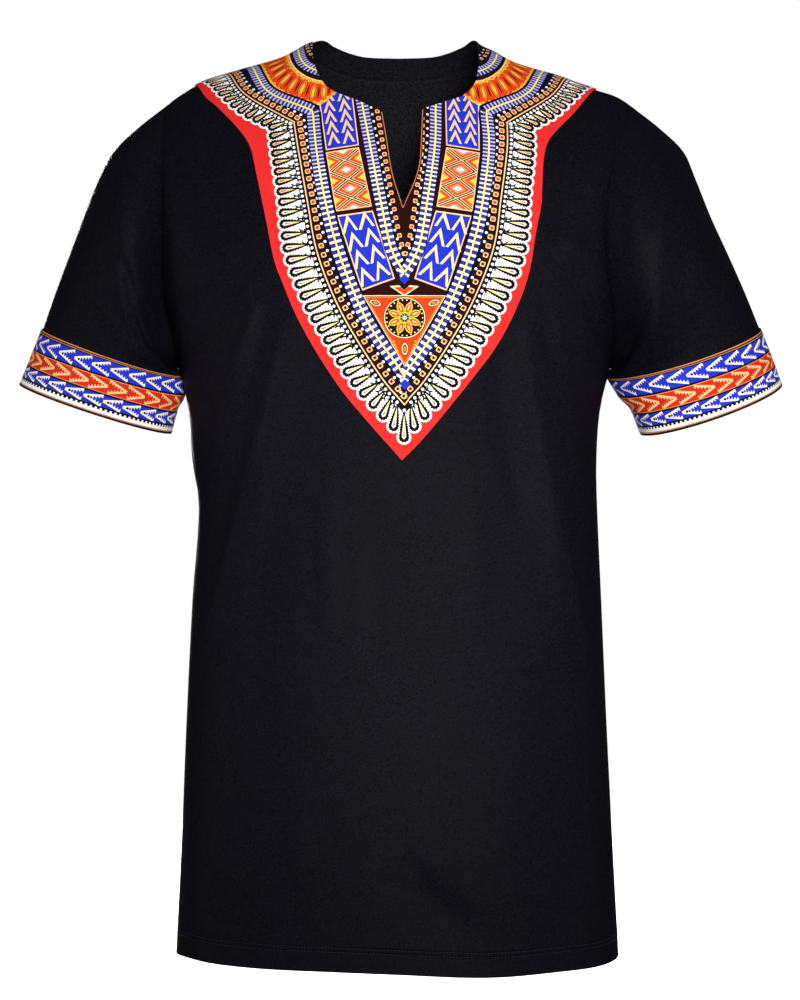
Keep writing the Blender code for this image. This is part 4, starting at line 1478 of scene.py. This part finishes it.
def cotton_material():
    """Crisp printed cotton: the dyes on a plain weave."""
    material, tree, shader = new_material("printed cotton", {"Specular IOR Level": 0.04})
    place_on = add_node(tree, "ShaderNodeUVMap", uv_map="cloth")["UV"]
    weave = add_group(tree, WEAVE, {"Place": place_on})
    uneven = add_group(tree, UNEVEN, {"Patch Scale": 22.0, "Speck Scale": 900.0})
    # The dyes are dimmed in soft random patches: partly worn cloth, partly a painted sheen standing in for
    # the shine on creased cotton
    wear_and_sheen = mixed(tree, uneven["Patches"], dye(255, 255, 255), dye(228, 224, 226))
    worn = mixed(tree, 1.0, attribute(tree, "dye", "Color"), wear_and_sheen, "MULTIPLY")
    # Painted shade: the dyes are darker where the threads dip under each other
    threads = mixed(tree, 1.0, worn, weave["Shade"], "MULTIPLY")
    normal = bumped(tree, uneven["Crumple"], 0.0012, 0.45)
    normal = bumped(tree, weave["Height"], 0.00012, 0.6, normal)
    rough = uneven["Patches"] * 0.16 + 0.55
    fill(shader, {"Base Color": threads, "Normal": normal, "Roughness": rough})
    return material


def thread_material(name, colour, light):
    """Twisted sewing thread, with a painted highlight along its twist."""
    inputs = {"Roughness": 0.6, "Specular IOR Level": 0.25}
    inputs |= {"Sheen Weight": 0.1, "Sheen Roughness": 0.4}
    material, tree, shader = new_material(name, inputs)
    where = add_node(tree, "ShaderNodeTexCoord")["Object"]
    inputs = {"Vector": where, "Scale": 1400.0, "Distortion": 1.0}
    twist = add_node(tree, "ShaderNodeTexWave", inputs)["Fac"]
    normal = bumped(tree, twist, 0.0001, 0.5)
    # The twist's ridges take the lighter colour: a painted highlight over the same bumps
    fill(shader, {"Base Color": mixed(tree, twist, colour, light), "Normal": normal})
    return material


def floor_material():
    inputs = {"Roughness": 0.9, "Specular IOR Level": 0.1, "Emission Strength": 1.0}
    material, tree, shader = new_material("pale floor", inputs)
    where = add_node(tree, "ShaderNodeTexCoord")["Object"]
    grain = add_node(tree, "ShaderNodeTexNoise", {"Vector": where, "Scale": 3.0})
    tone = mixed(tree, grain["Fac"], dye(252, 252, 252), dye(254, 254, 254))
    # Seen by the shirt, the floor is dim, so that its white doesn't shine on the black.
    seen = add_node(tree, "ShaderNodeLightPath")["Is Camera Ray"]
    base, glow = (mixed(tree, seen, dye(dim, dim, dim), tone) for dim in (84, 0))
    # From below, the floor can be seen through.
    below = Value(add_node(tree, "ShaderNodeNewGeometry")["Backfacing"])
    fill(shader, {"Base Color": base, "Emission Color": glow, "Alpha": below * -1.0 + 1.0})
    return material


# ---------------------------------------------------------------- the pieces
WAIST = 0.45  # the way down at which the body's round is measured
FAR_OFF = 1.0  # the distance from the hem where a piece has none


def from_middle(across):
    """How far round the body a place is from the middle, on the cloth."""
    shares = np.linspace(-1, 1, 241)
    run = lengths_of(body(shares, np.full(len(shares), WAIST)))
    return np.interp(across, shares, run - run[len(run) // 2])


def finish(piece, material, replaced=None):
    piece.data.materials.append(material)
    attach(piece, "root")
    if replaced:
        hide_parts(replaced)


def panel(name, rows, material, seams, hem=None):
    """A piece of the body from rows of places on it."""
    across, over = rows[..., 0].ravel(), rows[..., 1].ravel()
    points, out = body(across, over), outward(across, over)
    cloth = together(from_middle(across), -np.abs(over))
    sewn = np.concatenate([body(line[:, 0], line[:, 1]) for line in seams])
    measures = {"from_seam": nearest(points, sewn)}
    measures["from_hem"] = np.full(len(points), FAR_OFF)
    if hem is not None:
        measures["from_hem"] = nearest(points, body(hem[:, 0], hem[:, 1]))
    faces = grid_faces(*rows.shape[:2])
    piece = shell(name + "_cloth", (points, out, cloth, faces), -JERSEY_WALL, 0, None, measures)
    finish(piece, material, name)
    return piece


jersey, cotton = jersey_material(), cotton_material()
black_thread = thread_material("black thread", dye(14, 13, 16), dye(26, 25, 30))
red_thread = thread_material("red thread", dye(190, 24, 20), dye(238, 60, 48))

front_neck, back_seam = halves(neck_line), halves(back_neck_line, True)
front_outline, back_outline = halves(outline, True), halves(outline, False)
PANEL_ROWS = (YOKE_ROWS, SKIRT_ROWS)
front_rows = rows_between((front_neck, halves(yoke_line), front_outline), PANEL_ROWS)
back_rows = rows_between((back_seam, halves(back_mid_line), back_outline), PANEL_ROWS)
band_rows = rows_between((halves(back_neck_line, False), back_seam), (BAND_ROWS,))


def sewn_part(line):
    """The armhole and the side seam at both ends of an outline."""
    reach = ARMHOLE_STEPS + SIDE_STEPS + 1
    return np.concatenate((line[:reach], line[-reach:]))


def ends_of(rows):
    return [rows[:, 0], rows[:, -1]]


front_seams = [sewn_part(front_outline), *ends_of(front_rows)]
back_seams = [sewn_part(back_outline), *ends_of(back_rows), back_seam]
front = panel("front", front_rows, jersey, front_seams, halves(hem_line, True))
back = panel("back", back_rows, jersey, back_seams, halves(hem_line, False))
neckband = panel("neckband", band_rows, jersey, [back_seam, *ends_of(band_rows)])


def printed(name, border, shapes, spacing, put):
    """A printed piece: its print is cut out flat and then put where it is worn."""
    flat, faces, colours = cut_out(border, shapes, spacing)
    under, under_faces = joined_up([flat[trail(faces, len(flat))]], spacing)
    # The underside's points are put in the order that the rim wants.
    rim = np.unique(rim_of(faces, len(flat))[0])
    on_rim = [np.argmin(np.abs(under - flat[k]).sum(axis=1)) for k in rim]
    order = np.concatenate((on_rim, np.setdiff1d(np.arange(len(under)), on_rim)))
    places = np.empty(len(under), int)
    places[order] = np.arange(len(under))
    outer = (*put(flat), flat, faces)
    inner = (*put(under[order]), under[order], places[under_faces])
    piece = shell(name + "_cloth", outer, SEAM_GAP, SEAM_GAP + COTTON_WALL, colours, None, inner)
    finish(piece, cotton, name)
    return piece


def trail(faces, count):
    """The rim's points in order round it."""
    rim, _ = rim_of(faces, count)
    after = dict(rim.tolist())
    here = start = int(rim[0, 0])
    line = [here]
    while after[here] != start:
        here = after[here]
        line.append(here)
    return np.array(line)


def put_on_front(flat):
    across, over = place_of(flat)
    return body(across, over), outward(across, over)


def yoke_piece():
    neck = flat_of(*front_neck.T)
    edge = flat_of(*halves(yoke_line).T)
    border = np.concatenate((neck, edge[::-1]))
    shapes = yoke_print()
    for side in (-1, 1):
        line = flat_of(*spread(side_of(SLIT, side), 60).T)
        inward = side * SLIT_TURNING
        shapes += ribbon("maroon", line, line + (inward, 0.0006), 3)
        shapes += ribbon("tan", line, line + (inward * 0.35, 0.0002), 3)
    return printed("yoke", border, shapes, YOKE_SPACING, put_on_front)


yoke = yoke_piece()


# ---------------------------------------------------------------- sleeves and cuffs
def sleeve_fold_height(side, row, turn):
    total = np.zeros(np.broadcast(row, turn).shape)
    for f in SLEEVE_FOLDS:
        if f.side != side:
            continue
        t = np.clip((row - f.row0) / (f.row1 - f.row0), 0, 1)
        away = (turn - f.turn0 - (f.turn1 - f.turn0) * t + 0.5) % 1.0 - 0.5
        total = total + f.height * np.sin(math.pi * t) * bump(away / f.width)
    return total


def eased(share):
    """From 0 to 1 with soft ends."""
    share = np.clip(share, 0, 1)
    return share * share * (3 - 2 * share)


def underarm_fullness(side, row, turn):
    """How far the cuff's underside lies over towards the body."""
    down = (row - CUFF_ROW) / (LAST_ROW - CUFF_ROW)
    most, least = UNDERARM_FULLNESS[side]
    size = most + (least - most) * eased((down - FULLNESS_FALL) / FULLNESS_FALL_LENGTH)
    size = size * eased(down / FULLNESS_RISE_LENGTH + FULLNESS_RISE)
    return size * bump((turn - 0.5) / UNDERARM_WIDTH)


def sleeve_grid(side):
    """The sleeve's rounds of points, the first of them on the armhole seam."""
    seam = np.concatenate((armhole(side, True), armhole(side, False)[::-1][1:-1]))
    turn = np.arange(len(seam))[None] / len(seam)
    row = np.linspace(0, LAST_ROW, SLEEVE_ROWS + 1)[:, None]
    size = {name: between(SLEEVE, row, "row", name) for name in SLEEVE[0]._fields[1:]}
    if side > 0:
        size["outer"] += size["right_outer"]
        size["inner"] += size["right_inner"]
    outer = together(side * size["outer"], 0.0, size["outer_height"])
    inner = together(side * size["inner"], 0.0, size["inner_height"])
    middle, arm = (outer + inner) / 2, (outer - inner) / 2
    lean = SLEEVE_LEAN[side] * np.minimum(1.0, row / CUFF_ROW)
    angle = turn * math.tau
    depth = np.where(angle <= math.pi, size["front"], size["back"]) * np.sin(angle)
    forward = together(0.0, -np.cos(lean), -np.sin(lean))
    grid = middle + arm * np.cos(angle)[..., None] + forward * depth[..., None]
    # The first round is moved onto the seam, and the sleeve stands up from it, but not underneath.
    miss = body(*seam.T) - grid[0]
    low = (1 - np.cos(angle[0])) / 2
    tucked = 1 - bump((turn[0] - 0.5) / TUCK_WIDTH)
    lift = outward(*seam.T) * SLEEVE_BULGE * (tucked * low**0.7)[:, None]
    t = np.minimum(1.0, row / (CUFF_ROW - 1))[..., None]
    grid = grid + miss * (1 - t) ** 2 * (1 + 0.6 * t) + lift * 27 / 4 * t * (1 - t) ** 2
    grid[..., 0] -= side * underarm_fullness(side, row, turn)
    creased = crease_height(SLEEVE_CREASES, grid[..., 0], grid[..., 2])
    facing = np.abs(np.sin(angle)) ** 0.5
    facing = facing * np.clip(row / 1.5, 0, 1) * np.clip((7.2 - row) / 2, 0.25, 1)
    height = sleeve_fold_height(side, row, turn) + creased * facing
    centre = grid.mean(axis=1, keepdims=True)
    return grid + unit(grid - centre) * height[..., None]


def round_normals(grid, side):
    """Outward directions at the points of a sleeve's rounds."""
    about = np.roll(grid, -1, axis=1) - np.roll(grid, 1, axis=1)
    return unit(np.cross(np.gradient(grid, axis=0), about)) * -side


def on_sleeve(grid, row, turn):
    """Values at places between a grid's points, by row and turn."""
    count = grid.shape[1]
    r = np.clip(row / LAST_ROW * SLEEVE_ROWS, 0, SLEEVE_ROWS - 1e-9)
    c = (turn % 1.0) * count
    i, j = np.floor(r).astype(int), np.floor(c).astype(int) % count
    u, v = (r - i)[:, None], (c - np.floor(c))[:, None]
    k = (j + 1) % count
    top = grid[i, j] * (1 - v) + grid[i, k] * v
    return top * (1 - u) + (grid[i + 1, j] * (1 - v) + grid[i + 1, k] * v) * u


SLEEVE_ROUND = 0.47  # of the sleeve spread out, all round the arm
CUFF_ROUND, CUFF_DEPTH = 0.410, 0.058
CUFF_STITCHES_IN = 0.07  # of a row from each edge
CHEVRONS = 24
ARM_THICK, ARM_TEETH = 0.0024, 6  # of one side of an arrowhead
DOT_AHEAD = 0.0042  # from an arrowhead's point to the dot inside it


def stripe(colour, top, bottom, steps=88):
    """A stripe all round a cuff, with points all along it, so that it can bend."""
    xs = np.linspace(-CUFF_ROUND / 2, CUFF_ROUND / 2, steps + 1)
    sides = (together(xs, top * CUFF_DEPTH), together(xs, bottom * CUFF_DEPTH)[::-1])
    return [(colour, np.concatenate(sides))]


def toothed_arm(x0, y0, x1, y1):
    """A bar with small teeth along the edge that faces the arrowhead's opening."""
    a, b = np.array((x0, y0)), np.array((x1, y1))
    way = unit(b - a)
    side = np.array((way[1], -way[0])) * ARM_THICK
    side = side * (1 if y1 > y0 else -1) * (1 if x1 > x0 else -1)
    long = np.linalg.norm(b - a)
    points = [a - side / 2, b - side / 2]
    for k in range(ARM_TEETH, 0, -1):
        at = long * (k - 0.1) / (ARM_TEETH + 0.3)
        for ahead, out in ((0.05, 0.25), (0, 1.05), (-0.05, 0.25)):
            points.append(a + way * (at + long * ahead) + side * out)
    return np.array(points + [a + side * 0.25])


def chevron_band(colour, line, top, bottom, towards, dotted=False):
    """A stripe with arrowheads that point one way round the arm."""
    yield from stripe(colour, top, bottom)
    middle, half = (top + bottom) / 2 * CUFF_DEPTH, (bottom - top) / 2 * CUFF_DEPTH
    pitch = CUFF_ROUND / CHEVRONS
    for k in range(-1, CHEVRONS + 1):
        x = -CUFF_ROUND / 2 + (k + 0.5) * pitch
        end = x + towards * pitch * 0.94
        for up in (-1, 1):
            yield line, toothed_arm(x, middle, end, middle + up * half * 0.88)
        if dotted:
            yield "ink", disc(0.0013, 8) + (x + towards * DOT_AHEAD, middle)


def cuff_print(towards):
    """Three rows of arrowheads, the middle row turned the other way."""
    yield from stripe("black", 0, 1)
    yield from stripe("tan", 0.004, 0.022)
    yield from stripe("tan", 0.044, 0.055)
    yield from chevron_band("blue", "ivory", 0.076, 0.330, towards, True)
    yield from stripe("tan", 0.358, 0.372)
    yield from chevron_band("scarlet", "straw", 0.372, 0.606, -towards)
    yield from stripe("tan", 0.606, 0.620)
    yield from chevron_band("blue", "ivory", 0.648, 0.836, towards, True)
    yield from stripe("black", 0.836, 0.862)
    yield from stripe("white", 0.862, 0.945)
    tooth = np.array(((-0.30, 0.858), (0.30, 0.858), (0.26, 0.892), (-0.26, 0.892)))
    pitch = CUFF_ROUND / CHEVRONS / 4
    for k in range(4 * CHEVRONS):
        x = -CUFF_ROUND / 2 + (k + 0.5) * pitch
        yield "black", tooth * (pitch, CUFF_DEPTH) + (x, 0)
    yield from stripe("tan", 0.948, 0.966)


def arm_pieces(side, label):
    """A sleeve, its cuff and the cuff's stitches."""
    grid = sleeve_grid(side)
    out = round_normals(grid, side)
    rows, count = grid.shape[:2]
    steps = np.linalg.norm(np.diff(grid, axis=0), axis=-1).mean(axis=1)
    run = np.concatenate(([0.0], np.cumsum(steps)))[:, None]
    cloth = together(np.arange(count) / count * SLEEVE_ROUND, -run).reshape(-1, 2)
    points = grid.reshape(-1, 3)
    measures = {"from_seam": nearest(points, grid[0]), "from_hem": np.full(len(points), FAR_OFF)}
    outer = (points, out.reshape(-1, 3), cloth, grid_faces(rows, count, True))
    name = "sleeve_" + label
    sleeve = shell(name + "_cloth", outer, -JERSEY_WALL, 0, None, measures)
    finish(sleeve, jersey, name)

    def put(flat):
        cuff_rows = CUFF_ROW + flat[:, 1] / CUFF_DEPTH * (LAST_ROW - CUFF_ROW)
        turns = flat[:, 0] / CUFF_ROUND
        return on_sleeve(grid, cuff_rows, turns), unit(on_sleeve(out, cuff_rows, turns))

    edge = np.linspace(-1, 1, 161) * CUFF_ROUND / 2
    border = np.concatenate((together(edge, 0.0), together(edge[::-1], CUFF_DEPTH)))
    cuff = printed("cuff_" + label, border, list(cuff_print(-side)), CUFF_SPACING, put)

    lines = []
    turns = np.linspace(0, 1, 241)
    for row in (CUFF_ROW + CUFF_STITCHES_IN, LAST_ROW - CUFF_STITCHES_IN):
        at = np.full(len(turns), row)
        way = unit(on_sleeve(out, at, turns))
        lines.append((on_sleeve(grid, at, turns) + way * (SEAM_GAP + COTTON_WALL), way))
    sewn = stitches("cuff_stitches_" + label, lines, *CUFF_THREAD)
    finish(sewn, black_thread)
    return sleeve, cuff, sewn


sleeve_left, cuff_left, cuff_left_stitches = arm_pieces(-1, "left")
sleeve_right, cuff_right, cuff_right_stitches = arm_pieces(1, "right")


# ---------------------------------------------------------------- stitches on the body
def on_body(line, lift):
    out = outward(line[:, 0], line[:, 1])
    return body(line[:, 0], line[:, 1]) + out * lift, out


def hem_stitches(name, front):
    up = -1 if front else 1
    rows = [on_body(halves(hem_line, front) + (0.0, up * row), 0.0) for row in HEM_ROWS]
    piece = stitches(name, rows, *HEM_THREAD)
    finish(piece, black_thread)
    return piece


def yoke_stitches():
    edge = beside(flat_of(*halves(yoke_line).T), -YOKE_STITCHES_IN)[2:-2]
    line = on_body(together(*place_of(edge)), SEAM_GAP + COTTON_WALL)
    piece = stitches("yoke_stitches", [line], *EDGE_THREAD)
    finish(piece, red_thread)
    return piece


front_hem_stitches = hem_stitches("hem_stitches_front", True)
back_hem_stitches = hem_stitches("hem_stitches_back", False)
yoke_edge_stitches = yoke_stitches()
band_lines = [on_body(back_seam + (0.0, up), 0.0) for up in (BAND_ROWS_OFF, -BAND_ROWS_OFF)]
band_stitches = stitches("neckband_stitches", band_lines, *HEM_THREAD)
finish(band_stitches, black_thread)

# ---------------------------------------------------------------- studio
FLOOR, FLOOR_REACH = -1.05, 4


def studio():
    """A plain pale floor."""
    mesh = bpy.data.meshes.new("floor")
    corners = [(x * FLOOR_REACH, y * FLOOR_REACH, FLOOR) for x, y in ((-1, -1), (1, -1), (1, 1), (-1, 1))]
    mesh.from_pydata(corners, [], [(0, 1, 2, 3)])
    mesh.materials.append(floor_material())
    floor = in_scene("floor", mesh)
    floor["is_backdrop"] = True


def studio_air():
    """White to the camera and dim to everything else, for the same reason as the floor."""
    world = bpy.data.worlds.new("studio air")
    world.use_nodes = True
    tree = world.node_tree
    background = tree.nodes["Background"]
    seen = Value(add_node(tree, "ShaderNodeLightPath")["Is Camera Ray"])
    fill(background, {"Color": (1, 1, 1, 1), "Strength": seen * 0.92 + 0.08})
    bpy.context.scene.world = world


def aimed(lamp, location, target):
    holder = in_scene(lamp.name, lamp)
    holder.location = location
    way = Vector(target) - Vector(location)
    holder.rotation_euler = way.to_track_quat("-Z", "Y").to_euler()


def soft_light(name, location, target, size, power):
    lamp = bpy.data.lights.new(name, "AREA")
    lamp.shape = "RECTANGLE"
    lamp.size, lamp.size_y = size
    lamp.energy = power
    aimed(lamp, location, target)


def soft_spot(name, location, target, size, power, cone):
    lamp = bpy.data.lights.new(name, "SPOT")
    lamp.shadow_soft_size = size
    lamp.energy = power
    lamp.spot_size = math.radians(cone)
    lamp.spot_blend = 1.0
    aimed(lamp, location, target)


studio()
soft_light("key", (0.8, -3.3, 0.5), (0, 0, -0.4), (0.8, 0.8), 84)
soft_spot("front", (0.12, -3.5, -0.56), (0.05, 0, -0.44), 0.25, 470, 19)
soft_light("top", (0.0, -0.4, 2.2), (0, 0, -0.3), (2.0, 1.2), 9)
soft_light("left", (-3.0, -1.0, -0.3), (0, 0, -0.5), (0.9, 0.9), 27)
soft_light("right", (3.0, -1.0, -0.3), (0, 0, -0.5), (0.9, 0.9), 18)
soft_light("back", (-0.7, 3.3, 0.1), (0, 0, -0.4), (0.9, 0.9), 120)
studio_air()

visual_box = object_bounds()
boxes = {"cad": cad_box, "visual": visual_box}
{key: [list(map(float, corner)) for corner in box] for key, box in boxes.items()}
